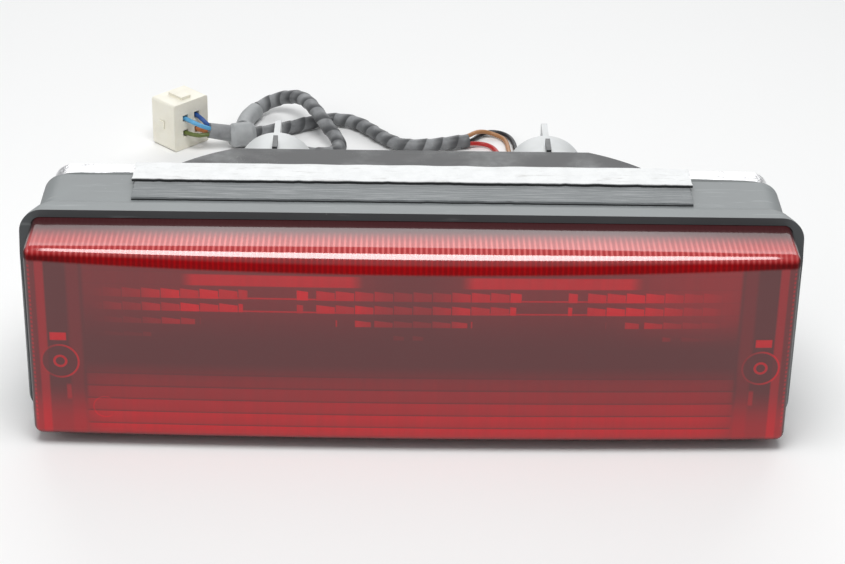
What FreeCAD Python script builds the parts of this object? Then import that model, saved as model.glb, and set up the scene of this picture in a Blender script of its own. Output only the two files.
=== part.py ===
"""Motorcycle-type rear brake light: lens, housing, rubber boot, two bulb sockets and a taped harness.

Frame: X to the right, Y backwards from the lens, Z up, in millimetres.
The origin is the middle of the boot's flat underside, and the lamp stands on Z = 0.
"""
import FreeCAD, Part
import math
import os

Vec = FreeCAD.Vector
os.makedirs("parts", exist_ok=True)

# ---- driving dimensions -------------------------------------------------------------------
LENS_WIDTH = 300.0
LENS_HEIGHT = 83.6
LENS_WALL = 2.8
LENS_DEPTH = 33.1
LENS_CORNER = 3.5
LENS_FRONT_FILLET = 3.6
LENS_BOW = 2.8                  # how far the front's middle stands out past its ends
SOLE = 4.5                      # rubber under the lens, which lifts it off the ground

BOOT_DEPTH = 38.5               # from the lip's front edge to the boot's rear edge
LENS_SHOWING = 26.6             # lens depth in front of the lip
BOOT_WALL_SIDE = 2.4
BOOT_WALL_TOP = 3.4
LIP_PROUD = 5.0                 # how far the lip's rim stands out past the lens at the ends
LIP_RISE = 3.4                  # and over the lens's top
LIP_LEAN = 3.0                  # how far the lip's top leans back
LIP_LENGTH = 15.0
BOOT_CORNER = 9.0

SEAM = 1.6                      # thickness of the gasket cord
FLANGE = 2.4
SHELL = 2.5                     # housing wall
HOUSING_INSET = 2.7             # how far the housing's box is inside the flange's outline
HOUSING_BOX_DEPTH = 44.0
HOUSING_CORNER = 8.0
BOWL_HALF_WIDTH = 103.5
BOWL_FLAT_HALF = 75.0
BOWL_DEPTH = 25.0
BOWL_DROP = 1.8                 # bowl's top below the housing's top
BOWL_RISE = 8.0                 # bowl's underside above the housing's underside
SLIP = 0.2                      # clearance between the boot and what it is pulled over

PAD_LENGTH = 224.0
PAD_DEPTH = 20.0
PAD_THICK = 1.6
STRIP_LENGTH = 226.0
STRIP_DEPTH = 15.6
STRIP_THICK = 1.5
STRIP_OVERHANG = 6.2            # how far the strip reaches past the boot's rear edge
FOIL_THICK = 0.4
FOIL_DEPTH = 14.5

SCREW_SPAN = 274.0              # between the two lens screws
SCREW_BELOW_MIDDLE = 8.7
SCREW_R = 2.0
SCREW_HEAD_R = 3.4
POST_R = 7.3
COLUMN_R = 5.5

STUD_SPAN = 240.0
STUD_R = 3.0
STUD_NECK_R = 2.4               # plain neck through the housing wall and the washer
STUD_LENGTH = 24.0

BULB_SPAN = 116.0               # between the two bulb axes
BULB_ABOVE_MIDDLE = 18.4
TURRET_R = 15.2
TURRET_WALL = 1.8
TURRET_LENGTH = 15.1
SOCKET_PLAY = 0.6               # radial gap between the socket's skirt and the turret
CUP_PLAY = 0.3                  # radial gap between the turret and the socket's outer cup
FLANGE_R = 16.6
FLANGE_THICK = 4.0
GASKET_THICK = 1.6
RUNNING_GAP = 0.3               # between faces of pieces that turn past each other
FIN_THICK = 2.6
FIN_LENGTH = 16.0
MARK_WIDTH = 2.0                # rib over each cup that shows where its fin locks
MARK_LENGTH = 10.5
OUTLET_R = 5.2
OUTLET_BORE_R = 3.3
OUTLET_LENGTH = 20.0
TWIST_DEG = 40.0
TAB_DEG = 24.0
TAB_THICK = 3.0
TAB_PROUD = 2.0

BASE_R = 7.5                    # bayonet base
BASE_LENGTH = 17.5
PUSH = 1.5                      # bulb travel against its spring
CONTACT_SHELL_WALL = 0.65
SHELL_GAP = 0.25
BULB_R = 12.5
PIN_R = 1.0

REFLECTOR_WALL = 1.6
REFLECTOR_HALF_WIDTH = 127.0
REFLECTOR_PAN_DEPTH = 29.0

SLEEVE_R = 3.6
LOOP_R = 3.8
TRUNK_R = 4.3
WIRE_R = 1.1
PLUG_WIDTH = 22.0
PLUG_LENGTH = 17.0
PLUG_HEIGHT = 25.0
PLUG_TURN_DEG = 45.0

# ---- stations worked out from them --------------------------------------------------------
HALF = LENS_WIDTH / 2
LIP_FRONT = -BOOT_DEPTH / 2
BOOT_REAR = BOOT_DEPTH / 2
LENS_FRONT = LIP_FRONT - LENS_SHOWING
LENS_REAR = LENS_FRONT + LENS_DEPTH
LENS_LOW = SOLE
LENS_HIGH = SOLE + LENS_HEIGHT
MIDDLE_Z = SOLE + LENS_HEIGHT / 2
FLANGE_FRONT = LENS_REAR + SEAM
FLANGE_REAR = FLANGE_FRONT + FLANGE
BOX_HALF = HALF - HOUSING_INSET
BOX_LOW = LENS_LOW + 1.5
BOX_HIGH = LENS_HIGH - 1.5
BOX_REAR = FLANGE_REAR + HOUSING_BOX_DEPTH
BOWL_REAR = BOX_REAR + BOWL_DEPTH
BOWL_HIGH = BOX_HIGH - BOWL_DROP
BOWL_LOW = BOX_LOW + BOWL_RISE
BOOT_HIGH = BOX_HIGH + BOOT_WALL_TOP
PAD_REAR = BOOT_REAR - 3.2
STRIP_REAR = BOOT_REAR + STRIP_OVERHANG
AXIS_Z = MIDDLE_Z + BULB_ABOVE_MIDDLE
SCREW_Z = MIDDLE_Z - SCREW_BELOW_MIDDLE
TURRET_REAR = BOWL_REAR + TURRET_LENGTH
TURRET_BORE_R = TURRET_R - TURRET_WALL
SKIRT_R = TURRET_BORE_R - SOCKET_PLAY
GASKET_FRONT = TURRET_REAR + RUNNING_GAP
FLANGE_DISC_FRONT = GASKET_FRONT + GASKET_THICK
FLANGE_DISC_REAR = FLANGE_DISC_FRONT + FLANGE_THICK
SHELL_IN_R = BASE_R + SHELL_GAP
SHELL_OUT_R = SHELL_IN_R + CONTACT_SHELL_WALL
CAVITY_REAR = FLANGE_DISC_FRONT + 1.0
BASE_REAR = CAVITY_REAR - 7.0
BASE_FRONT = BASE_REAR - BASE_LENGTH
PIN_Y = BASE_REAR - 8.0
SIDES = (("left", -1), ("right", 1))


# ---- shared shapes ------------------------------------------------------------------------
def rounded_outline(half_width, z_low, z_high, radius, y, x_mid=0.0):
    """A rounded rectangle in an XZ plane, as a closed wire."""
    x0, x1 = x_mid - half_width, x_mid + half_width
    r = min(radius, half_width * 0.95, (z_high - z_low) * 0.48)
    k = r * (1 - math.sqrt(0.5))
    p = [Vec(x0 + r, y, z_low), Vec(x1 - r, y, z_low), Vec(x1, y, z_low + r), Vec(x1, y, z_high - r),
         Vec(x1 - r, y, z_high), Vec(x0 + r, y, z_high), Vec(x0, y, z_high - r), Vec(x0, y, z_low + r)]
    mids = [Vec(x1 - k, y, z_low + k), Vec(x1 - k, y, z_high - k),
            Vec(x0 + k, y, z_high - k), Vec(x0 + k, y, z_low + k)]
    edges = []
    for i in range(4):
        edges.append(Part.LineSegment(p[2 * i], p[2 * i + 1]).toShape())
        edges.append(Part.Arc(p[2 * i + 1], mids[i], p[(2 * i + 2) % 8]).toShape())
    return Part.Wire(edges)


def block(half_width, z_low, z_high, radius, y0, y1, x_mid=0.0):
    """A rounded rectangle extruded along Y."""
    wire = rounded_outline(half_width, z_low, z_high, radius, y0, x_mid)
    return Part.Face(wire).extrude(Vec(0, y1 - y0, 0))


def rod(x, z, radius, y0, y1):
    """A cylinder along Y."""
    return Part.makeCylinder(radius, y1 - y0, Vec(x, y0, z), Vec(0, 1, 0))


def ring(x, z, r_out, r_in, y0, y1):
    """A tube along Y."""
    return rod(x, z, r_out, y0, y1).cut(rod(x, z, r_in, y0 - 1, y1 + 1))


def sector(x, z, r_out, r_in, y0, y1, deg_mid, deg_width):
    """Part of a tube along Y, deg_width wide about the direction deg_mid, counted from +Z towards +X."""
    piece = Part.makeCylinder(r_out, y1 - y0, Vec(0, 0, 0), Vec(0, 1, 0), deg_width)
    core = Part.makeCylinder(r_in, y1 - y0 + 2, Vec(0, -1, 0), Vec(0, 1, 0))
    piece = piece.cut(core)
    middle = piece.Solids[0].CenterOfMass
    now = math.degrees(math.atan2(middle.x, middle.z))
    piece.rotate(Vec(0, 0, 0), Vec(0, 1, 0), deg_mid - now)
    piece.translate(Vec(x, y0, z))
    return piece


def lathe(x, z, profile):
    """Turn a closed outline of (radius, y) points about the Y axis through x, z."""
    points = [Vec(x + r, y, z) for r, y in profile]
    face = Part.Face(Part.makePolygon(points + [points[0]]))
    return face.revolve(Vec(x, 0, z), Vec(0, 1, 0), 360)


def join(shapes):
    """Fuse a list of overlapping solids."""
    whole = shapes[0].fuse(shapes[1:]) if len(shapes) > 1 else shapes[0]
    return whole.removeSplitter()


def bent_tube(points, radius):
    """A round tube along straight runs joined by tangent arcs, with its path and the arcs' radii."""
    pts = [Vec(*p) for p in points]
    edges, radii, last = [], [], pts[0]
    for a, b, c in zip(pts, pts[1:], pts[2:]):
        into, out = b.sub(a), c.sub(b)
        turn = into.getAngle(out)
        reach = 0.45 * min(into.Length, out.Length)
        bend = reach / math.tan(turn / 2)
        start = b.sub(Vec(into).normalize().multiply(reach))
        finish = b.add(Vec(out).normalize().multiply(reach))
        towards = start.add(finish).multiply(0.5).sub(b)
        middle = b.add(towards.normalize().multiply(bend / math.cos(turn / 2) - bend))
        edges.append(Part.LineSegment(last, start).toShape())
        edges.append(Part.Arc(start, middle, finish).toShape())
        radii.append(bend)
        last = finish
    edges.append(Part.LineSegment(last, pts[-1]).toShape())
    path = Part.Wire(edges)
    section = Part.Wire(Part.makeCircle(radius, pts[0], pts[1].sub(pts[0])))
    return path.makePipeShell([section], True, False), path, radii


def save(name, shape):
    """Write one node's STEP file and report its volume."""
    shape.exportStep("parts/%s.step" % name)
    print("%-24s solids %d  volume %.1f  valid %s" % (name, len(shape.Solids), shape.Volume, shape.isValid()))


# ---- lens and seal ------------------------------------------------------------------------
def bow_solid(radius):
    """The space behind a front bowed about an upright axis, the same axis for every radius."""
    axis_y = LENS_FRONT + (HALF ** 2 + LENS_BOW ** 2) / (2 * LENS_BOW)
    angle = math.degrees(math.asin((HALF + 10) / radius))
    wedge = Part.makeCylinder(radius, LENS_HIGH + 20, Vec(0, axis_y, -10), Vec(0, 0, 1), 2 * angle)
    wedge.rotate(Vec(0, axis_y, 0), Vec(0, 0, 1), -90 - angle)
    return wedge


def make_lens():
    """Box-shaped lens, open at the back, with two posts for the rear screws."""
    wall = LENS_WALL
    bow_r = (HALF ** 2 + LENS_BOW ** 2) / (2 * LENS_BOW)
    outer = block(HALF, LENS_LOW, LENS_HIGH, LENS_CORNER, LENS_FRONT - 5, LENS_REAR)
    outer = outer.common(bow_solid(bow_r))
    rim = [e for e in outer.Edges if e.BoundBox.YMax < LENS_FRONT + LENS_BOW + 0.2]
    outer = outer.makeFillet(min(LENS_FRONT_FILLET, LENS_CORNER * 0.97, LENS_WALL * 1.4), rim)
    inner = block(HALF - wall, LENS_LOW + wall, LENS_HIGH - wall, 1.2, LENS_FRONT, LENS_REAR + 1)
    lens = outer.cut(inner.common(bow_solid(bow_r - wall)))
    posts = []
    for _, side in SIDES:
        x = side * SCREW_SPAN / 2
        posts.append(rod(x, SCREW_Z, POST_R, LENS_FRONT + LENS_BOW + wall - 1.2, FLANGE_FRONT))
    lens = join([lens] + posts)
    for _, side in SIDES:
        x = side * SCREW_SPAN / 2
        lens = lens.cut(rod(x, SCREW_Z, SCREW_R, LENS_FRONT + LENS_BOW + wall + 5, FLANGE_FRONT + 1))
        relief = ring(x, SCREW_Z, POST_R - 1.8, SCREW_R + 1.6, LENS_FRONT + LENS_BOW + wall + 1, FLANGE_FRONT - 8)
        lens = lens.cut(relief)
    save("lens", lens)


def make_lens_gasket():
    """Closed rubber cord between the lens rim and the housing flange."""
    edge = 0.2
    outer = block(HALF - edge, LENS_LOW + edge, LENS_HIGH - edge, LENS_CORNER - edge, LENS_REAR, FLANGE_FRONT)
    wall = LENS_WALL - edge
    inner = block(HALF - wall, LENS_LOW + wall, LENS_HIGH - wall, 1.3, LENS_REAR - 1, FLANGE_FRONT + 1)
    save("lens_gasket", outer.cut(inner))


# ---- housing ------------------------------------------------------------------------------
def bowl_solid(wall, y_front):
    """The rear bowl, shrunk by wall, from y_front to its rear face."""
    half, flat, rear = BOWL_HALF_WIDTH - wall, BOWL_FLAT_HALF - wall * 0.4, BOWL_REAR - wall
    bend = BOX_REAR + 0.10 * BOWL_DEPTH - wall * 0.3
    mid_x = flat + 0.56 * (half - flat)
    mid_y = bend + 0.56 * (rear - bend)
    low, high = BOWL_LOW + wall, BOWL_HIGH - wall
    corner = [Vec(half, y_front, low), Vec(half, bend, low), Vec(mid_x, mid_y, low), Vec(flat, rear, low)]
    mirror = [Vec(-v.x, v.y, v.z) for v in corner]
    edges = [Part.LineSegment(corner[0], corner[1]), Part.Arc(corner[1], corner[2], corner[3]),
             Part.LineSegment(corner[3], mirror[3]), Part.Arc(mirror[3], mirror[2], mirror[1]),
             Part.LineSegment(mirror[1], mirror[0]), Part.LineSegment(mirror[0], corner[0])]
    face = Part.Face(Part.Wire([e.toShape() for e in edges]))
    solid = face.extrude(Vec(0, 0, high - low))
    rounded = [e for e in solid.Edges if e.BoundBox.ZLength < 1e-4 and e.BoundBox.YMax > BOX_REAR + 2]
    return solid.makeFillet(4.0 if wall == 0 else 1.0, rounded)


def bayonet_slots(x):
    """The three L-shaped slots in a turret's wall: an entry from the mouth and a turn to the lock."""
    cuts = []
    slack_deg, slack = 2.0, 0.3
    tab_y = TAB_FRONT - slack
    for k in range(3):
        locked = 120.0 * k + 60.0
        width = TAB_DEG + 2 * slack_deg + TWIST_DEG
        cuts.append(sector(x, AXIS_Z, TURRET_R + 1, TURRET_BORE_R - 0.5, tab_y, tab_y + TAB_THICK + 2 * slack,
                           locked + TWIST_DEG / 2, width))
        cuts.append(sector(x, AXIS_Z, TURRET_R + 1, TURRET_BORE_R - 0.5, tab_y, TURRET_REAR + 1,
                           locked + TWIST_DEG, TAB_DEG + 2 * slack_deg))
    return cuts


TAB_FRONT = BOWL_REAR + 3.5


def make_housing():
    """Moulded shell: front flange, box, rear bowl, two turrets, screw columns and stud bosses."""
    parts = [block(HALF, LENS_LOW, LENS_HIGH, LENS_CORNER, FLANGE_FRONT, FLANGE_REAR),
             block(BOX_HALF, BOX_LOW, BOX_HIGH, HOUSING_CORNER, FLANGE_FRONT, BOX_REAR),
             bowl_solid(0, BOX_REAR - 1)]
    for _, side in SIDES:
        x = side * BULB_SPAN / 2
        parts.append(rod(x, AXIS_Z, TURRET_R, BOWL_REAR - 1, TURRET_REAR))
        mark_low = AXIS_Z + FLANGE_R + 0.5
        rib = Part.makeBox(MARK_WIDTH, MARK_LENGTH + 1, BOWL_HIGH - mark_low)
        rib.translate(Vec(x - MARK_WIDTH / 2, BOWL_REAR - 1, mark_low))
        parts.append(rib)
        parts.append(rod(side * STUD_SPAN / 2, MIDDLE_Z, 8.0, BOX_REAR - 1, BOX_REAR + 2))
    shell = join(parts)
    shell = shell.cut(block(BOX_HALF - SHELL, BOX_LOW + SHELL, BOX_HIGH - SHELL, HOUSING_CORNER - SHELL,
                            FLANGE_FRONT - 1, BOX_REAR - SHELL))
    shell = shell.cut(bowl_solid(SHELL, BOX_REAR - SHELL - 1))
    columns = []
    for _, side in SIDES:
        x = side * SCREW_SPAN / 2
        columns.append(rod(x, SCREW_Z, COLUMN_R, FLANGE_FRONT, BOX_REAR - 1))
        web = Part.makeBox(BOX_HALF - SCREW_SPAN / 2 - COLUMN_R + 1 - SHELL / 2, HOUSING_BOX_DEPTH * 0.7, 2.0)
        start = SCREW_SPAN / 2 + COLUMN_R - 1
        web.translate(Vec(start if side > 0 else -start - web.BoundBox.XLength, FLANGE_REAR + 9, SCREW_Z - 1))
        columns.append(web)
    shell = join([shell] + columns)
    for _, side in SIDES:
        x = side * SCREW_SPAN / 2
        shell = shell.cut(rod(x, SCREW_Z, SCREW_HEAD_R + 0.4, FLANGE_FRONT + 3.0, BOX_REAR + 1))
        shell = shell.cut(rod(x, SCREW_Z, SCREW_R + 0.3, FLANGE_FRONT - 1, FLANGE_FRONT + 4))
        shell = shell.cut(rod(side * STUD_SPAN / 2, MIDDLE_Z, STUD_NECK_R, BOX_REAR - 5, BOX_REAR + 4))
        bulb_x = side * BULB_SPAN / 2
        shell = shell.cut(rod(bulb_x, AXIS_Z, TURRET_BORE_R, BOWL_REAR - 6, TURRET_REAR + 1))
        for slot in bayonet_slots(bulb_x):
            shell = shell.cut(slot)
    save("housing", shell)


def make_fasteners():
    """Lens screws, mounting studs and their sealing washers, each pair as two solids in one node."""
    screws, studs, washers = [], [], []
    head_y = FLANGE_FRONT + 3.0
    for _, side in SIDES:
        x = side * SCREW_SPAN / 2
        shank = rod(x, SCREW_Z, SCREW_R - 0.02, LENS_FRONT + LENS_BOW + LENS_WALL + 8, head_y + 1)
        tip = Part.makeCone(0.5, SCREW_R - 0.02, 2.5, Vec(x, LENS_FRONT + LENS_BOW + LENS_WALL + 5.6, SCREW_Z), Vec(0, 1, 0))
        head = rod(x, SCREW_Z, SCREW_HEAD_R, head_y, head_y + 2.6)
        cross = [Part.makeBox(4.0, 2.0, 0.9, Vec(x - 2.0, head_y + 1.3, SCREW_Z - 0.45)),
                 Part.makeBox(0.9, 2.0, 4.0, Vec(x - 0.45, head_y + 1.3, SCREW_Z - 2.0))]
        screws.append(join([shank, tip, head]).cut(cross[0]).cut(cross[1]))
        x = side * STUD_SPAN / 2
        inside = BOX_REAR - SHELL
        corners = [Vec(x + 5.77 * math.cos(math.radians(60 * k)), inside - 3.5,
                       MIDDLE_Z + 5.77 * math.sin(math.radians(60 * k))) for k in range(6)]
        nut = Part.Face(Part.makePolygon(corners + [corners[0]])).extrude(Vec(0, 3.5, 0))
        neck = rod(x, MIDDLE_Z, STUD_NECK_R, inside - 1, BOX_REAR + 5)
        body = rod(x, MIDDLE_Z, STUD_R, BOX_REAR + 4.2, BOX_REAR + STUD_LENGTH - 1)
        end = Part.makeCone(STUD_R, STUD_R - 1, 1.0, Vec(x, BOX_REAR + STUD_LENGTH - 1, MIDDLE_Z), Vec(0, 1, 0))
        studs.append(join([nut, neck, body, end]))
        washers.append(ring(x, MIDDLE_Z, 7.6, STUD_R + 0.1, BOX_REAR + 2, BOX_REAR + 3.6))
    save("lens_screws", Part.makeCompound(screws))
    save("mounting_studs", Part.makeCompound(studs))
    save("stud_washers", Part.makeCompound(washers))


# ---- reflector ----------------------------------------------------------------------------
def reflector_solid(shrink):
    """The filled form of the reflector, smaller by shrink all round: a pan and two dishes."""
    low, high = BOX_LOW + SHELL + 1 + shrink, BOX_HIGH - SHELL - 1 - shrink
    front = FLANGE_REAR + 1 - (2 if shrink else 0)
    pan_rear = FLANGE_REAR + REFLECTOR_PAN_DEPTH - shrink
    parts = [block(REFLECTOR_HALF_WIDTH - shrink, low, high, 5.0, front, pan_rear)]
    deep = BOWL_REAR - SHELL - 7.5 - shrink
    throat, mouth = 17.0 - shrink, 39.0 - shrink
    for _, side in SIDES:
        x = side * BULB_SPAN / 2
        near, far = pan_rear - 4, deep
        middle = (throat + 0.62 * (mouth - throat), near + 0.58 * (far - near))
        edges = [Part.Arc(Vec(x + mouth, near, AXIS_Z), Vec(x + middle[0], middle[1], AXIS_Z),
                          Vec(x + throat, far, AXIS_Z)),
                 Part.LineSegment(Vec(x + throat, far, AXIS_Z), Vec(x, far, AXIS_Z)),
                 Part.LineSegment(Vec(x, far, AXIS_Z), Vec(x, near, AXIS_Z)),
                 Part.LineSegment(Vec(x, near, AXIS_Z), Vec(x + mouth, near, AXIS_Z))]
        dish = Part.Face(Part.Wire([e.toShape() for e in edges])).revolve(Vec(x, 0, AXIS_Z), Vec(0, 1, 0), 360)
        cap = BOWL_HIGH - SHELL - 1.2 - shrink
        keep = Part.makeBox(BULB_SPAN, 80, cap - low - 4, Vec(x - BULB_SPAN / 2, near - 2, low + 4))
        parts.append(dish.common(keep))
    return join(parts)


def make_reflector():
    """Bright pan with a dish round each bulb, seated on the housing's rear wall by two collars."""
    shell = reflector_solid(0).cut(reflector_solid(REFLECTOR_WALL))
    deep = BOWL_REAR - SHELL - 7.5
    for _, side in SIDES:
        x = side * BULB_SPAN / 2
        collar = rod(x, AXIS_Z, TURRET_BORE_R + 2.0, deep - REFLECTOR_WALL, BOWL_REAR - SHELL)
        shell = join([shell, collar])
    for _, side in SIDES:
        x = side * BULB_SPAN / 2
        shell = shell.cut(rod(x, AXIS_Z, 14.2, deep - 4, BOWL_REAR + 1))
    save("reflector", shell)


# ---- rubber boot and what is stuck on it ---------------------------------------------------
def make_boot():
    """Rubber sleeve over the lens rim and the housing, with a flared lip in front."""
    body_half = BOX_HALF + BOOT_WALL_SIDE
    rim_half, rim_high = HALF + LIP_PROUD, LENS_HIGH + LIP_RISE
    stations = [(LIP_FRONT, rim_half - 0.8, rim_high - 0.8), (LIP_FRONT + 1.5, rim_half, rim_high),
                (LIP_FRONT + 5.5, rim_half - 0.9, rim_high - 0.2),
                (FLANGE_REAR + 0.8, HALF + 1.9, BOOT_HIGH + 0.9),
                (LIP_FRONT + LIP_LENGTH, body_half, BOOT_HIGH)]
    wires = [rounded_outline(half, 0, high, BOOT_CORNER, y) for y, half, high in stations]
    lip = Part.makeLoft(wires, True, True)
    body = block(body_half, 0, BOOT_HIGH, BOOT_CORNER, LIP_FRONT + LIP_LENGTH - 0.01, BOOT_REAR)
    boot = lip.fuse(body)
    boot = boot.cut(block(HALF + SLIP, LENS_LOW - SLIP, LENS_HIGH + SLIP, LENS_CORNER + SLIP,
                          LIP_FRONT - 1, FLANGE_REAR + SLIP))
    boot = boot.cut(block(BOX_HALF + SLIP, BOX_LOW - SLIP, BOX_HIGH + SLIP, HOUSING_CORNER + SLIP,
                          FLANGE_REAR, BOOT_REAR + 1))
    low, top = LENS_HIGH - 30, LENS_HIGH + 20
    lean = LIP_LEAN * (top - low) / (LENS_HIGH - low)
    wedge = Part.makePolygon([Vec(-HALF - 20, LIP_FRONT - 1, low), Vec(-HALF - 20, LIP_FRONT, low),
                              Vec(-HALF - 20, LIP_FRONT + lean, top), Vec(-HALF - 20, LIP_FRONT - 1, top),
                              Vec(-HALF - 20, LIP_FRONT - 1, low)])
    boot = boot.cut(Part.Face(wedge).extrude(Vec(2 * HALF + 40, 0, 0)))
    save("rubber_boot", boot)


def make_strips():
    """The dark pad and the white strip on the boot, and the foil on the housing's rear corners."""
    pad_low = BOOT_HIGH
    pad = Part.makeBox(PAD_LENGTH, PAD_DEPTH, PAD_THICK, Vec(-PAD_LENGTH / 2, PAD_REAR - PAD_DEPTH, pad_low))
    save("foam_pad", pad)
    strip = Part.makeBox(STRIP_LENGTH, STRIP_DEPTH, STRIP_THICK,
                         Vec(-STRIP_LENGTH / 2, STRIP_REAR - STRIP_DEPTH, pad_low + PAD_THICK))
    save("white_strip", strip)
    for name, side in SIDES:
        inner_x, outer_x = STRIP_LENGTH / 2 - 2, BOX_HALF - HOUSING_CORNER
        sheet = Part.makeBox(outer_x - inner_x, FOIL_DEPTH, FOIL_THICK,
                             Vec(inner_x, BOX_REAR - FOIL_DEPTH, BOX_HIGH))
        wrap = block(BOX_HALF + FOIL_THICK, BOX_LOW, BOX_HIGH + FOIL_THICK, HOUSING_CORNER + FOIL_THICK,
                     BOX_REAR - FOIL_DEPTH, BOX_REAR)
        wrap = wrap.cut(block(BOX_HALF, BOX_LOW - 1, BOX_HIGH, HOUSING_CORNER, BOX_REAR - 40, BOX_REAR + 1))
        corner = Part.makeBox(40, 60, 14, Vec(outer_x - 1, BOX_REAR - 50, BOX_HIGH - 12))
        sheet = join([sheet, wrap.common(corner)])
        if side < 0:
            sheet = sheet.mirror(Vec(0, 0, 0), Vec(1, 0, 0))
        save("foil_tape_" + name, sheet)


# ---- bulb sockets and bulbs ---------------------------------------------------------------
def make_socket(name, x):
    """Twist-lock socket: flange, outer cup, skirt with three tabs, inner tube, grip fin and wire outlet."""
    z = AXIS_Z
    skirt_front = TAB_FRONT
    inner_front = PIN_Y - 9.5
    tube_r = SHELL_OUT_R + 1.6
    parts = [rod(x, z, FLANGE_R, FLANGE_DISC_FRONT, FLANGE_DISC_REAR),
             ring(x, z, SKIRT_R, SKIRT_R - 1.6, skirt_front, FLANGE_DISC_FRONT + 0.5),
             ring(x, z, FLANGE_R, TURRET_R + CUP_PLAY, BOWL_REAR + 0.6, FLANGE_DISC_FRONT + 0.5),
             rod(x, z, tube_r, inner_front, FLANGE_DISC_FRONT + 0.5),
             rod(x, z, OUTLET_R, FLANGE_DISC_REAR - 0.5, FLANGE_DISC_REAR + OUTLET_LENGTH)]
    reach = FLANGE_R - 0.6
    fin = Part.makeBox(FIN_THICK, FIN_LENGTH + 0.5, 2 * reach,
                       Vec(x - FIN_THICK / 2, FLANGE_DISC_REAR - 0.5, z - reach))
    corners = [e for e in fin.Edges if e.BoundBox.XLength > FIN_THICK - 0.1
               and e.BoundBox.YMin > FLANGE_DISC_REAR + 1]
    parts.append(fin.makeFillet(2.5, corners))
    for k in range(3):
        parts.append(sector(x, z, SKIRT_R + TAB_PROUD, SKIRT_R - 0.8, TAB_FRONT, TAB_FRONT + TAB_THICK,
                            120.0 * k + 60.0, TAB_DEG))
    body = join(parts)
    body = body.cut(rod(x, z, SHELL_OUT_R, inner_front - 1, CAVITY_REAR))
    body = body.cut(rod(x, z, OUTLET_BORE_R, FLANGE_DISC_REAR + 11, FLANGE_DISC_REAR + OUTLET_LENGTH + 1))
    save("socket_" + name, body)
    gasket = ring(x, z, TURRET_R, SKIRT_R + 0.3, GASKET_FRONT, FLANGE_DISC_FRONT)
    save("socket_gasket_" + name, gasket)
    return inner_front


def make_contacts(name, x, inner_front):
    """The metal shell with its two bayonet slots, and the sprung contact disc with its coil."""
    z = AXIS_Z
    shell = ring(x, z, SHELL_OUT_R, SHELL_IN_R, inner_front, CAVITY_REAR)
    pin_gap = PIN_R + 0.3
    for side in (-1, 1):
        entry = Part.makeBox(3.0, PIN_Y + PUSH + pin_gap - inner_front + 1, 2 * pin_gap,
                             Vec(x + side * (SHELL_IN_R + 0.3) - 1.5, inner_front - 1, z - pin_gap))
        entry.rotate(Vec(x, 0, z), Vec(0, 1, 0), -22)
        hook = sector(x, z, SHELL_OUT_R + 1, SHELL_IN_R - 1, PIN_Y - pin_gap, PIN_Y + PUSH + pin_gap,
                      90.0 * side - 11, 42)
        shell = shell.cut(entry).cut(hook)
    save("contact_shell_" + name, shell)
    disc_front = BASE_REAR + 0.6
    disc = rod(x, z, BASE_R - 0.6, disc_front, disc_front + 1.4)
    save("contact_disc_" + name, disc)
    coil_front, coil_rear, coil_r, wire_r, turns, steps = disc_front + 1.4, CAVITY_REAR, 5.2, 0.4, 3, 10
    height = coil_rear - coil_front - 2 * wire_r - 0.2
    points = []
    for k in range(turns * steps + 1):
        angle = 2 * math.pi * k / steps
        points.append((x + coil_r * math.cos(angle), coil_front + 0.1 + wire_r + height * k / (turns * steps),
                       z + coil_r * math.sin(angle)))
    coil = bent_tube(points, wire_r)[0]
    save("contact_spring_" + name, coil)


def make_bulb(name, x):
    """Two-filament bulb: brass base with two pins and two contacts, glass envelope, filaments."""
    z = AXIS_Z
    base = [rod(x, z, BASE_R, BASE_FRONT, BASE_REAR)]
    for side in (-1, 1):
        pin = Part.makeCylinder(PIN_R, SHELL_OUT_R - 0.3, Vec(x, PIN_Y, z), Vec(side, 0, 0))
        base.append(pin)
        base.append(Part.makeCylinder(1.3, 1.6, Vec(x, BASE_REAR - 1, z + side * 3.0), Vec(0, 1, 0)))
    base = join(base)
    well_r = BASE_R - 0.7
    base = base.cut(rod(x, z, well_r, BASE_FRONT - 1, BASE_REAR - 2.5))
    save("bulb_base_" + name, base)
    neck_r, wall = well_r - 0.1, 0.8
    ball_y = BASE_FRONT - 20.5
    join_y = BASE_FRONT - 5.0
    outline = []
    for grow in (0.0, -wall):
        ball, neck = BULB_R + grow, neck_r + grow
        turn = math.acos((neck + 1.6) / ball)
        arc = [(ball * math.sin(a), ball_y - ball * math.cos(a))
               for a in [math.pi * k / 24 for k in range(1, 24)] if a < math.pi / 2 + turn * 0.95]
        outline.append([(0.0, ball_y - ball)] + arc + [(neck + 0.5, join_y - 1), (neck, join_y + 1)])
    rear = BASE_FRONT + 3.9
    outer, inner = outline
    profile = outer + [(neck_r, rear), (0.0, rear), (0.0, rear - 5.0), (neck_r - wall, rear - 5.0)]
    profile += [(neck_r - wall, join_y + 1)] + list(reversed(inner[:-1]))
    profile = [(r, y) for r, y in profile]
    envelope = lathe(x, z, profile)
    save("bulb_glass_" + name, envelope)
    press_top = rear - 5.0
    filaments = []
    for side, stand in ((-1, 13.0), (1, 9.0)):
        zc = z + side * 3.2
        y_top = press_top - stand
        posts = [Part.makeCylinder(0.35, stand + 0.1, Vec(x + dx, y_top - 0.1, zc), Vec(0, 1, 0))
                 for dx in (-3.5, 3.5)]
        bar = Part.makeCylinder(0.45, 7.0, Vec(x - 3.5, y_top, zc), Vec(1, 0, 0))
        filaments.append(join([bar] + posts))
    save("bulb_filaments_" + name, Part.makeCompound(filaments))


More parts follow.
